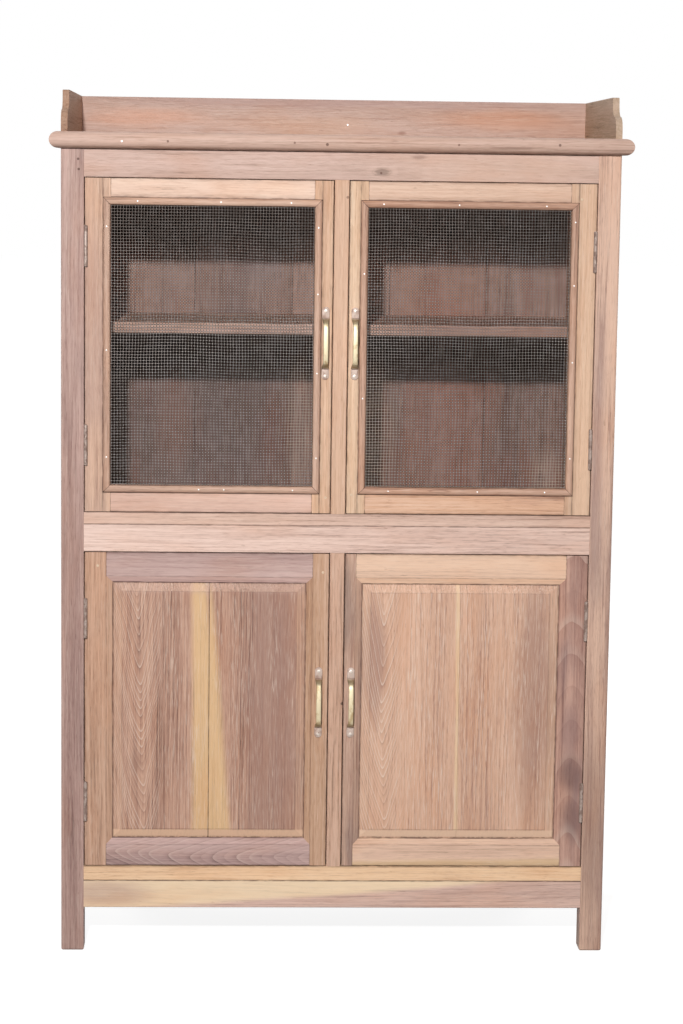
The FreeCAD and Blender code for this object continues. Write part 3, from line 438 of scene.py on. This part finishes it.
doorTouches = {  # what only some of them have
    "upper_left_door_hinge_stile": {"stain": ((186, 152, 140), 0.6, 1.2)},
    "upper_right_door_bottom_rail": {"stain": ((196, 152, 132), 0.6, 0.7)},
    "lower_left_door_top_rail": {"rings": 100, "wander": 0.02},
    "lower_left_door_bottom_rail": {"wander": 0.02, "ringGain": 0.3,
                                    "figure": {"centre": 0.184, "from": 0.1, "way": -1, "slope": 0.25, "lean": 0.0,
                                               "rings": 170, "tip": 0.008, "until": 0.3}},
    "lower_right_door_bottom_rail": {"sap": ((220, 184, 146), 0.15, 0.174, 0.006, 0.0, 0.01)},
    "lower_right_door_hinge_stile": {"wander": 0.03, "ringGain": 0.18, "dashGain": 0.2,
                                     "stain": ((142, 112, 108), 0.7, 0.6),
                                     "figure": {"centre": 0.44, "from": 0.08, "way": 1, "slope": 0.4, "lean": 0.0,
                                                "rings": -36, "tip": 0.03, "until": 0.6},
                                     "blotsAndShadows": ((0.41, 0.44, 0.08, 0.022, (134, 104, 102), 0.5),
                                               (0.335, 0.444, 0.05, 0.03, (116, 88, 84), 0.75),
                                               (0.25, 0.447, 0.06, 0.03, (124, 95, 90), 0.7))},
    "lower_right_door_meeting_stile": {"stain": ((140, 120, 112), 0.7, 0.8)},
}
doorSides = {  # where each door's beads or moulding end, on the hinge side and the meeting side
    "upper_left": (-0.4335, -0.035), "upper_right": (0.4335, 0.035),
    "lower_left": (-0.4265, -0.045), "lower_right": (0.4265, 0.035),
}
railLevels = {  # height where the beads or moulding end, and of the door's edge
    "upper_top": (1.4075, 1.4415), "upper_bottom": (0.8685, 0.8325),
    "lower_top": (0.7125, 0.7565), "lower_bottom": (0.2045, 0.1645),
}
stileEdges = {"hinge": 0.4665, "meeting": 0.015}
mouldWidths = {"upper": 0.014, "lower": 0.012}
for index, (node, (dark, mid, light)) in enumerate(doorTones.items()):
    half, hand, _, member, kind = node.split("_")
    hinge, meeting = doorSides[half + "_" + hand]
    sign, inward = 1 if hand == "right" else -1, mouldWidths[half]
    if kind == "rail":
        grain, letter = "xzy", "z"
        outer, edge = railLevels[half + "_" + member]
        inner = outer - inward if member == "top" else outer + inward
        joints = (hinge - sign * inward, meeting + sign * inward) if half == "upper" else (hinge, meeting)
    else:
        grain, letter, joints = "zxy", "x", ()
        outer, towards = (hinge, -sign) if member == "hinge" else (meeting, sign)
        inner, edge = outer + towards * inward, sign * stileEdges[member]
    if half == "upper":
        dirtAndShadeLines = ((letter, outer, 0.0024, 0.55), (letter, outer, 0.011, 0.18))
    else:
        dirtAndShadeLines = ((letter, outer, 0.0016, 0.4), (letter, inner, 0.0022, 0.9))
    dirtAndShadeLines += ((letter, edge, 0.003, 0.35), (letter, edge, 0.009, 0.16))
    weatherAndPaintedLight = (("y", front + 0.017, 0.4, 1),)
    if half == "lower" and kind == "rail":  # painted light on the top rail's downward-facing moulding, and painted shade on the bottom rail's upward-facing moulding
        weatherAndPaintedLight += (("z", outer, 1.2, -1),) if member == "top" else (("z", outer, 0.94, 1),)
    timber[node] = {"dark": dark, "mid": mid, "light": light, "seed": 30.0 + index, "grain": grain,
                    "joints": joints, "dirtAndShadeLines": dirtAndShadeLines, "weatherAndPaintedLight": weatherAndPaintedLight, **doorTouches.get(node, {})}
for side, middle, dark, mid, light in (("left", -0.23425, (161, 126, 109), (200, 163, 142), (220, 185, 163)),
                                       ("right", 0.23425, (153, 115, 96), (191, 151, 129), (213, 174, 151))):
    timber["upper_" + side + "_door_beading"] = {
        "dark": dark, "mid": mid, "light": light, "seed": 50.0 + middle,
        "rings": 60, "corner": ((middle, 1.138), (0.18525, 0.2555), mouldWidths["upper"])}
timber["lower_left_door_panel"] = {
    "dark": (159, 120, 103), "mid": (187, 145, 125), "light": (209, 168, 145), "seed": 61.0,
    "boards": (-0.4285, 0.19275, 0.1), "ringGain": 0.34, "rings": 150, "streaks": (420.0, 0.46, 0.68),
    "streakGain": 0.3, "dashGain": 0.5,
    "weatherAndPaintedLight": (("y", front + 0.012, 0.42, 1),),
    "figure": {"centre": -0.378, "from": 0.8, "way": -1, "slope": 0.28, "lean": -0.04,
               "rings": 240, "tip": 0.004, "until": -0.33},
    "sap": ((224, 184, 140), -0.266, -0.176, 0.008, 0.0, -0.0909), "dirtAndShadeLines": (("x", -0.2358, 0.0014, 0.9),),
    "blotsAndShadows": ((0.46, -0.12, 0.6, 0.075, (150, 116, 106), 0.6), (0.36, -0.37, 0.03, 0.02, (150, 112, 96), 0.4),
              (0.693, -0.235, 0.018, 9.0, (206, 172, 158), 0.35)),
    "field": ((-0.3975, -0.074), (0.2335, 0.6835), 0.017, (230, 190, 160))}
timber["lower_right_door_panel"] = {
    "dark": (181, 139, 121), "mid": (212, 169, 143), "light": (229, 187, 161), "seed": 62.0,
    "boards": (0.04, 0.1911, 0.06), "ringGain": 0.34, "rings": 110, "streakGain": 0.1,
    "bandGain": 0.9, "fibreGain": 0.7, "dashGain": 0.6,
    "weatherAndPaintedLight": (("y", front + 0.012, 0.42, 1),),
    "figure": {"centre": 0.089, "from": 0.86, "way": -1, "slope": 0.28, "lean": 0.0,
               "rings": 190, "tip": 0.004, "until": 0.124},
    "sap": ((232, 196, 160), 0.2275, 0.2345, 0.0012, 0.0, 0.0),
    "blotsAndShadows": ((0.47, 0.372, 0.30, 0.06, (158, 122, 110), 0.55), (0.55, 0.07, 0.16, 0.035, (158, 122, 112), 0.6)),
    "field": ((0.064, 0.3975), (0.2335, 0.6835), 0.017, (236, 200, 172))}
for node, look in timber.items():
    dress(nodes[node], teak("teak_" + node, **look))
print("teak on", len(timber), "nodes")


# metals

handleLevels = (1.146135, 0.477076)  # middle of the upper and of the lower handles


def agedBrass(name):
    made, place, axes = newMaterial(name)
    x, y, z = axes.values()
    worn = cloud(x * 90.0, y * 90.0, z * 60.0, 3.0)
    scratch = cloud(x * 2600.0, y * 900.0, z * 160.0)
    patina = worn.ease(0.45, 0.68)
    # the feet have lost their lacquer and gone a pinkish grey
    middle = (z - handleLevels[0]).size().maths("MINIMUM", (z - handleLevels[1]).size())
    foot = (middle + (worn - 0.5) * 0.004).ease(0.0435, 0.0465)
    bar = patina.tint(tone(206, 192, 160), tone(176, 152, 114))
    colour = foot.tint(bar, patina.tint(tone(190, 170, 158), tone(166, 138, 124)))
    colour = (scratch.ease(0.6, 0.75) * 0.4).tint(colour, tone(112, 86, 58))
    neck = middle.ease(0.034, 0.039) * middle.fade(0.0432, 0.0455)  # darker on the sloping shoulders between the feet and the bar
    colour = (neck * 0.55).tint(colour, tone(96, 72, 40))
    closeMaterial(place, {"Base Color": colour, "Metallic": 0.6 - foot * 0.3,
                          "Roughness": patina * 0.16 + foot * 0.1 + 0.5,
                          "Normal": (scratch + worn).bump(0.12, 0.0003)})
    return made


def oldSteel(name, bright, rust, share, metal):  # share of it that has rusted
    made, place, axes = newMaterial(name)
    x, y, z = axes.values()
    patch = cloud(x * 160.0, y * 160.0, z * 120.0, 3.0).ease(0.62 - share * 0.3, 0.74 - share * 0.2)
    grit = cloud(x * 1100.0, y * 1100.0, z * 1100.0)
    colour = patch.tint(tone(*bright), tone(*rust))
    colour = (grit.ease(0.5, 0.8) * 0.35).tint(colour, scaled(tone(*rust), 0.6))
    closeMaterial(place, {"Base Color": colour, "Metallic": (1 - patch * 0.75) * metal,
                          "Roughness": patch * 0.22 + 0.44, "Normal": (grit + patch * 0.5).bump(0.2, 0.0003)})
    return made


def wornWire(name):
    made, place, axes = newMaterial(name)
    x, y, z = axes.values()
    patch = cloud(x * 60.0, y * 60.0, z * 60.0, 3.0)
    paintedCrestGlint = (y - gauze["plane"]).fade(-0.00104, -0.0006)  # painted highlight where one wire crests another
    colour = patch.ease(0.35, 0.65).tint(tone(145, 136, 132), tone(113, 102, 96))
    colour = (paintedCrestGlint * (patch * 1.2 + 0.3)).tint(colour, tone(250, 244, 238))
    for patchX, patchZ, wide, high, patchTone in gauze["patches"]:
        out = distance((x - patchX) / wide, (z - patchZ) / high)
        colour = (out.fade(0.3, 1.0) * patch * 1.3).tint(colour, tone(*patchTone))
    closeMaterial(place, {"Base Color": colour, "Metallic": 0.35, "Roughness": patch * 0.3 + 0.3})
    return made


def pegWood(name):
    made, place, axes = newMaterial(name)
    speck = cloud(*(axis * 900.0 for axis in axes.values()))
    colour = speck.ease(0.35, 0.7).tint(tone(206, 176, 146), tone(236, 210, 182))
    closeMaterial(place, {"Base Color": colour, "Roughness": speck * 0.2 + 0.5, "Normal": speck.bump(0.3, 0.0004)})
    return made


dust = (204, 184, 168)
gauze = {"pitch": 0.0054, "wire": 0.00054, "lift": 0.0006, "plane": front - 0.0006, "weld": 0.00002,
         "lap": 0.0095, "flat": 0.36,  # under the beads: how far it goes, and the thickness left
         "stray": 0.0009, "strayFrom": 0.05,  # pulled out of square, fully so this far from the beads
         "swayAcross": (19, 7, 43, -21), "swayUp": (17, -5, 39, 17),
         "across": (0.049, 0.4195), "levels": (0.8825, 1.3935),  # the opening in the beads
         # dusty patches, and two darker patches of painted shade over the shadowed top band and the band under the
         # shelf: x, z, both sizes and tone
         "patches": ((0.07, 0.98, 0.05, 0.17, dust), (-0.075, 1.0, 0.035, 0.15, dust),
                     (0.385, 0.91, 0.05, 0.06, dust), (0.0, 1.38, 9.0, 0.1, (120, 110, 104)),
                     (0.24, 1.105, 0.24, 0.07, (113, 103, 97)))}
brass = agedBrass("aged_brass")
hingeSteel = oldSteel("hinge_steel", (164, 146, 136), (132, 108, 97), 0.6, 0.45)
screwSteel = oldSteel("screw_steel", (206, 196, 186), (140, 112, 96), 0.3, 0.8)
pinSteel = oldSteel("panel_pin_steel", (240, 238, 236), (190, 176, 168), 0.1, 0.6)
gauzeWire = wornWire("gauze_wire")
peg = pegWood("peg_end_grain")
for node, piece in nodes.items():
    if "hinge" in node and "stile" not in node:
        dress(piece, hingeSteel)
print("brass, steel and wire mixed")


# pieces made here

def meshFrom(bm, name):
    mesh = bpy.data.meshes.new(name)
    bm.to_mesh(mesh)
    bm.free()
    return mesh


def finishPiece(bm, name, body, material, replaced=()):
    bmesh.ops.recalc_face_normals(bm, faces=bm.faces)
    mesh = meshFrom(bm, name)
    for face in mesh.polygons:
        face.use_smooth = True
    mesh.set_sharp_from_angle(angle=radians(38))  # corners stay crisp
    piece = bpy.data.objects.new(name, mesh)
    bpy.context.scene.collection.objects.link(piece)
    mesh.materials.append(material)
    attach(piece, body)
    if replaced:
        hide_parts(*replaced)


def vertsOf(geometry):
    return [item for item in geometry if isinstance(item, bmesh.types.BMVert)]


def edgesOf(geometry):
    return [item for item in geometry if isinstance(item, bmesh.types.BMEdge)]


def ringEdges(ring):
    return list({edge for vert in ring for edge in vert.link_edges if all(v in ring for v in edge.verts)})


def stamped(pattern, places):  # one small shape set down at each place
    bm = bmesh.new()
    for place in places:
        count = len(bm.verts)
        bm.from_mesh(pattern)
        bm.verts.ensure_lookup_table()
        bmesh.ops.transform(bm, matrix=place, verts=bm.verts[count:])
    return bm


# woven wire gauze

def wireLength(bm, stations, turn):
    ring = bmesh.ops.create_circle(bm, segments=4, radius=gauze["wire"],
                                   matrix=Matrix.Translation(stations[0]) @ turn)["verts"]
    for here, there in zip(stations, stations[1:]):
        ring = vertsOf(bmesh.ops.extrude_edge_only(bm, edges=ringEdges(ring))["geom"])
        bmesh.ops.translate(bm, verts=ring, vec=there - here)


def sway(wave, u, v):  # a slow wave with a quicker one on it
    return sin(u * wave[0] + v * wave[1]) + 0.6 * sin(u * wave[2] + v * wave[3])


def wovenGauze(name, body, low, high, replaced):
    pitch, lift = gauze["pitch"], gauze["lift"]
    bm = bmesh.new()
    upright, level = Matrix.Identity(4), Matrix.Rotation(pi / 2, 4, "Y")
    for step in (0, 1):  # two wires each way make the smallest repeat
        side = lift if step else -lift
        wireLength(bm, [Vector((step * pitch, side * way, k * pitch)) for k, way in enumerate((1, -1, 1))], upright)
        wireLength(bm, [Vector((k * pitch, -side * way, step * pitch)) for k, way in enumerate((1, -1, 1))], level)
    columns = int((high.x - low.x + 2 * gauze["lap"]) / (2 * pitch))
    rows = int((high.z - low.z + 2 * gauze["lap"]) / (2 * pitch))
    for count, step in ((columns, Vector((2 * pitch, 0, 0))), (rows, Vector((0, 0, 2 * pitch)))):
        cell = bm.verts[:] + bm.edges[:] + bm.faces[:]
        for k in range(1, count):
            copied = bmesh.ops.duplicate(bm, geom=cell)["geom"]
            bmesh.ops.translate(bm, verts=vertsOf(copied), vec=step * k)
    bmesh.ops.remove_doubles(bm, verts=bm.verts, dist=gauze["weld"])
    middle = (low + high) / 2
    bmesh.ops.translate(bm, verts=bm.verts,
                        vec=(middle.x - columns * pitch, gauze["plane"], middle.z - rows * pitch))
    for vert in bm.verts:  # the cloth of wire has pulled out of square here and there
        x, z = vert.co.x, vert.co.z
        inside = min(x - low.x, high.x - x, z - low.z, high.z - z)
        if inside < 0:  # pinched flat under the beads
            vert.co.y = gauze["plane"] + (vert.co.y - gauze["plane"]) * gauze["flat"]
        else:
            free = gauze["stray"] * min(1.0, inside / gauze["strayFrom"])
            vert.co.x += free * sway(gauze["swayAcross"], z, x)
            vert.co.z += free * sway(gauze["swayUp"], x, z)
    finishPiece(bm, name, body, gauzeWire, replaced)


for side, sign in (("left", -1), ("right", 1)):
    door = "upper_" + side + "_door"
    left, right = sorted(sign * edge for edge in gauze["across"])
    bottom, top = gauze["levels"]
    wovenGauze(door + "_gauze", door, Vector((left, 0, bottom)), Vector((right, 0, top)), [door + "_wire_mesh"])
print("gauze woven")


# cast bow handles

bow = {
    "footWidth": 0.014, "footRun": 0.021, "footEnd": 0.0665, "footThick": 0.003, "footEdge": 0.0007,
    # height on the handle, stand-off, half width, half thickness, lean of the section in degrees
    "stations": ((0.0472, 0.0016, 0.0068, 0.0014, 0), (0.0452, 0.0034, 0.0068, 0.0024, 52),
                 (0.0416, 0.0112, 0.0058, 0.0030, 66), (0.0384, 0.0182, 0.0048, 0.0032, 62),
                 (0.0350, 0.0218, 0.0045, 0.0032, 30), (0.0290, 0.0230, 0.0046, 0.0032, 10),
                 (0.0150, 0.0243, 0.0047, 0.0032, 5), (0.0, 0.0247, 0.0047, 0.0032, 0)),
    "corner": 0.42,  # rounding of the section, before it is stretched
}


def bowHandle(name, body, centre, replaced):
    bm = bmesh.new()
    half = bow["stations"]
    whole = list(half) + [(-z, y, w, t, -lean) for z, y, w, t, lean in reversed(half[:-1])]
    bmesh.ops.create_circle(bm, cap_ends=True, segments=4, radius=2 ** 0.5, matrix=Matrix.Rotation(pi / 4, 4, "Z"))
    bmesh.ops.bevel(bm, geom=bm.verts[:], offset=bow["corner"], offset_type="OFFSET", segments=3, profile=0.5,
                    affect="VERTICES", material=-1)
    ring, last = bm.verts[:], Matrix.Identity(4)
    for count, (z, y, w, t, lean) in enumerate(whole):  # sections square to the line of the bow
        place = (Matrix.Translation((0, -y, z)) @ Matrix.Rotation(radians(-lean), 4, "X")
                 @ Matrix.Diagonal((w, t, 1, 1)))
        if count:
            ring = vertsOf(bmesh.ops.extrude_edge_only(bm, edges=ringEdges(ring))["geom"])
        bmesh.ops.transform(bm, matrix=place @ last.inverted(), verts=ring)
        last = place
    bmesh.ops.contextual_create(bm, geom=ringEdges(ring))
    for sign in (1, -1):  # feet round at their outer ends
        radius = bow["footWidth"] / 2
        disc = bmesh.ops.create_circle(bm, cap_ends=True, segments=28, radius=radius, matrix=Matrix.Translation(
            (0, 0, sign * (bow["footEnd"] - radius))) @ Matrix.Rotation(pi / 2, 4, "X"))["verts"]
        inner = [v for v in disc if v.co.z * sign < bow["footEnd"] - radius - 0.0001]
        for vert in inner:
            vert.co.z = sign * (bow["footEnd"] - bow["footRun"])
        face = next(f for f in disc[0].link_faces if len(f.verts) == len(disc))
        lifted = bmesh.ops.extrude_face_region(bm, geom=[face])["geom"]
        bmesh.ops.translate(bm, verts=vertsOf(lifted), vec=(0, -bow["footThick"], 0))
        bmesh.ops.bevel(bm, geom=edgesOf(lifted), offset=bow["footEdge"], offset_type="OFFSET", segments=3,
                        profile=0.5, affect="EDGES", material=-1)
    bmesh.ops.translate(bm, verts=bm.verts, vec=centre)
    finishPiece(bm, name, body, brass, replaced)


handlePlaces = {
    "upper_left_door": Vector((-0.027, front, handleLevels[0])),
    "upper_right_door": Vector((0.027, front, handleLevels[0])),
    "lower_left_door": Vector((-0.032, front, handleLevels[1])),
    "lower_right_door": Vector((0.028, front, handleLevels[1])),
}
for door, centre in handlePlaces.items():
    bowHandle(door + "_bow_handle", door, centre, [door + "_handle"])
print("handles cast")


# slotted screws, pins, nails and pegs

slotFloor, cheekInset, cheekCrown = 0.3, 0.14, 0.16  # shares of the head's rise, radius and rise


def slottedHead(name, radius, rise, slot):  # stands on the xy plane and faces up
    bm = bmesh.new()
    bmesh.ops.create_circle(bm, cap_ends=True, segments=22, radius=radius)
    for sign in (1, -1):
        bmesh.ops.bisect_plane(bm, geom=bm.faces[:] + bm.edges[:] + bm.verts[:], plane_co=(sign * slot, 0, 0),
                               plane_no=(1, 0, 0), dist=1e-7)
    for face in bm.faces[:]:  # the cheeks stand high on each side of the slot
        high = abs(face.calc_center_median().x) > slot
        raised = bmesh.ops.extrude_discrete_faces(bm, faces=[face])["faces"][0]
        bmesh.ops.translate(bm, verts=raised.verts, vec=(0, 0, rise if high else rise * slotFloor))
        if high:
            bmesh.ops.inset_region(bm, faces=[raised], thickness=radius * cheekInset, use_even_offset=True)
            bmesh.ops.translate(bm, verts=raised.verts, vec=(0, 0, rise * cheekCrown))
    return meshFrom(bm, name)


def roundHead(name, radius, rise):
    bm = bmesh.new()
    bmesh.ops.create_circle(bm, cap_ends=True, segments=14, radius=radius)
    lifted = bmesh.ops.extrude_face_region(bm, geom=bm.faces[:])["geom"]
    bmesh.ops.translate(bm, verts=vertsOf(lifted), vec=(0, 0, rise))
    bmesh.ops.bevel(bm, geom=edgesOf(lifted), offset=rise * 0.7, offset_type="OFFSET", segments=2, profile=0.5,
                    affect="EDGES", material=-1)
    return meshFrom(bm, name)


forward = Matrix.Rotation(pi / 2, 4, "X")  # turns a head to face the front


def facing(x, y, z, turn=0.0):
    return Matrix.Translation((x, y, z)) @ forward @ Matrix.Rotation(radians(turn), 4, "Z")


screws = {"apart": 0.0595, "radius": 0.003, "rise": 0.0012, "slot": 0.00045}
handleHead = slottedHead("handle_screw_head", screws["radius"], screws["rise"], screws["slot"])
for index, (door, centre) in enumerate(handlePlaces.items()):
    places = [facing(centre.x, front - bow["footThick"], centre.z + sign * screws["apart"],
                     40 + index * 67 + sign * 25) for sign in (1, -1)]  # no two slots alike
    finishPiece(stamped(handleHead, places), door + "_slotted_screws", door, screwSteel,
                [door + "_handle_screws"])

hinges = {"upper": (0.9185, 1.2815), "lower": (0.2505, 0.5965),  # bottom of each hinge
          "along": (0.012, 0.037, 0.062), "in": 0.0115,  # the screws, from the bottom and from the front
          "door": 0.4659, "post": 0.4664,  # faces of the two leaves
          "radius": 0.0027, "rise": 0.00012, "slot": 0.0004}
leafHead = slottedHead("hinge_screw_head", hinges["radius"], hinges["rise"], hinges["slot"])
postPlaces = []
for door in handlePlaces:
    sign = -1 if "left" in door else 1
    doorPlaces = []
    for bottom in hinges[door.split("_")[0]]:
        for step in hinges["along"]:
            at = (front + hinges["in"], bottom + step)
            spinTurn = Matrix.Rotation(bottom * 40 + step * 300, 4, "Z")  # each screw stopped as it pleased
            outward, inward = (Matrix.Rotation(way * pi / 2, 4, "Y") @ spinTurn for way in (sign, -sign))
            doorPlaces.append(Matrix.Translation((sign * hinges["door"], *at)) @ outward)
            postPlaces.append(Matrix.Translation((sign * hinges["post"], *at)) @ inward)
    finishPiece(stamped(leafHead, doorPlaces), door + "_hinge_screws", door, screwSteel)
finishPiece(stamped(leafHead, postPlaces), "post_hinge_screws", "carcass", screwSteel)

pins = {
    "upper_left_door": ((-0.3706, 1.4005), (-0.2197, 1.4005), (-0.0921, 1.4005), (-0.4265, 1.3542), (-0.042, 1.3562),
                        (-0.042, 1.2357), (-0.042, 1.0912), (-0.042, 0.9354), (-0.257, 0.8755), (-0.2109, 0.8755),
                        (-0.0847, 0.8755), (-0.4265, 1.13), (-0.4265, 0.934)),
    "upper_right_door": ((0.0762, 1.4005), (0.2137, 1.4005), (0.3732, 1.4005), (0.4265, 1.3722), (0.4265, 1.2565),
                         (0.4265, 1.116), (0.4265, 0.9387), (0.042, 1.274), (0.042, 1.0463), (0.0917, 0.8755),
                         (0.2565, 0.8755), (0.3811, 0.8755)),
    "radius": 0.0014, "rise": 0.0006, "face": front - 0.009,
}
pinHead = roundHead("panel_pin_head", pins["radius"], pins["rise"])
for door in ("upper_left_door", "upper_right_door"):
    places = [facing(x, pins["face"], z) for x, z in pins[door]]
    finishPiece(stamped(pinHead, places), door + "_panel_pins", door, pinSteel)
nails = {"places": ((-0.399, front - 0.0197, 1.507), (0.026, front + 0.4332, 1.551)), "radius": 0.0018,
         "rise": 0.0005}
nailHead = roundHead("nail_head", nails["radius"], nails["rise"])
places = [facing(*spot) for spot in nails["places"]]
finishPiece(stamped(nailHead, places), "top_nails", "carcass", pinSteel)

pegs = {
    "lower_left_door": ((-0.4424, 0.7317), (-0.0264, 0.7217)), "upper_left_door": ((-0.0234, 0.8614),),
    "upper_right_door": ((0.0245, 0.8671), (0.4383, 1.4134)), "radius": 0.0026, "rise": 0.0004, "sunk": 0.0001,
}
pegHead = roundHead("peg_end", pegs["radius"], pegs["rise"])
for door in handlePlaces:
    if door in pegs:
        places = [facing(x, front + pegs["sunk"], z) for x, z in pegs[door]]
        finishPiece(stamped(pegHead, places), door + "_pegs", door, peg)
print("screws, pins, nails and pegs set")


# light, floor and camera

studio = {"fill": 0.02, "key": 157.0, "keyAt": (-0.6, -5.3, 2.75), "keySize": 0.16, "keySpread": 140.0,
          "sides": 95.0, "sidesAt": (2.9, 2.5, 1.15), "sidesSize": 1.6,  # soft lamps behind, left and right
          "top": 13.0, "topAt": (0.0, 0.25, 3.4), "topSize": 1.6,
          "aim": (0, 0, 0.85),  # where all lamps point
          "floorHalf": 40.0, "floorGrey": 0.3, "nearWhite": 0.88, "paper": (0.9, 3.0),  # white paper further out
          "cameraAt": (-0.1834, -4.9089, 1.4456), "turn": (-2.3141, -7.3950, -0.7710),
          "lens": 90.282, "sensor": 36.0}


def seenRays(tree):  # 1 for camera, mirror and glass rays, 0 for the light that falls on things
    path = tree.nodes.new("ShaderNodeLightPath")
    camera, glossy, glass = (Flow(tree, path.outputs[key]) for key in
                             ("Is Camera Ray", "Is Glossy Ray", "Is Transmission Ray"))
    return camera.maths("MAXIMUM", glossy).maths("MAXIMUM", glass)


world = bpy.data.worlds.new("pale_room")
bpy.context.scene.world = world
world.use_nodes = True
world.node_tree.nodes.clear()
level = seenRays(world.node_tree).pick(studio["fill"], 1.0)
sky = level.node("ShaderNodeBackground", None, {"Color": (1, 1, 1, 1), "Strength": level})
level.node("ShaderNodeOutputWorld", None, {"Surface": sky})

bm = bmesh.new()
bmesh.ops.create_grid(bm, x_segments=1, y_segments=1, size=studio["floorHalf"])
floorMesh = meshFrom(bm, "pale_floor")
floor = bpy.data.objects.new("pale_floor", floorMesh)
bpy.context.scene.collection.objects.link(floor)
floorLook, _, axes = newMaterial("pale_floor")
seen = seenRays(floorLook.node_tree)
white = distance(axes["x"], axes["y"]).ease(*studio["paper"]) * (1 - studio["nearWhite"]) + studio["nearWhite"]
paper = seen.node("ShaderNodeBsdfDiffuse", None, {"Color": (*[studio["floorGrey"]] * 3, 1)})
glow = seen.node("ShaderNodeEmission", None, {"Color": (1, 1, 1, 1), "Strength": seen * white})
both = seen.node("ShaderNodeAddShader", None, {0: paper, 1: glow})
seen.node("ShaderNodeOutputMaterial", None, {"Surface": both})
floorMesh.materials.append(floorLook)


def softLamp(name, energy, size, place, spread=180.0):
    lamp = bpy.data.lights.new(name, "AREA")
    lamp.energy, lamp.size, lamp.spread = energy, size, radians(spread)
    made = bpy.data.objects.new(name, lamp)
    made.location = place
    made.rotation_euler = (Vector(studio["aim"]) - made.location).to_track_quat("-Z", "Y").to_euler()
    made.visible_camera = False
    bpy.context.scene.collection.objects.link(made)


softLamp("key_lamp", studio["key"], studio["keySize"], studio["keyAt"], studio["keySpread"])
softLamp("top_lamp", studio["top"], studio["topSize"], studio["topAt"])
for side, sign in (("left", -1), ("right", 1)):
    x, y, z = studio["sidesAt"]
    softLamp(side + "_side_lamp", studio["sides"], studio["sidesSize"], (sign * x, y, z))

camera = bpy.data.cameras.new("camera")
camera.lens, camera.sensor_width = studio["lens"], studio["sensor"]
eye = bpy.data.objects.new("camera", camera)
yaw, pitch, roll = (radians(value) for value in studio["turn"])
eye.matrix_world = (Matrix.Translation(studio["cameraAt"]) @ Matrix.Rotation(yaw, 4, "Z")
                    @ Matrix.Rotation(pitch, 4, "X") @ Matrix.Rotation(roll, 4, "Y") @ Matrix.Rotation(pi / 2, 4, "X"))
bpy.context.scene.collection.objects.link(eye)
bpy.context.scene.camera = eye
bpy.context.scene.view_settings.view_transform = "Standard"
print("studio ready")
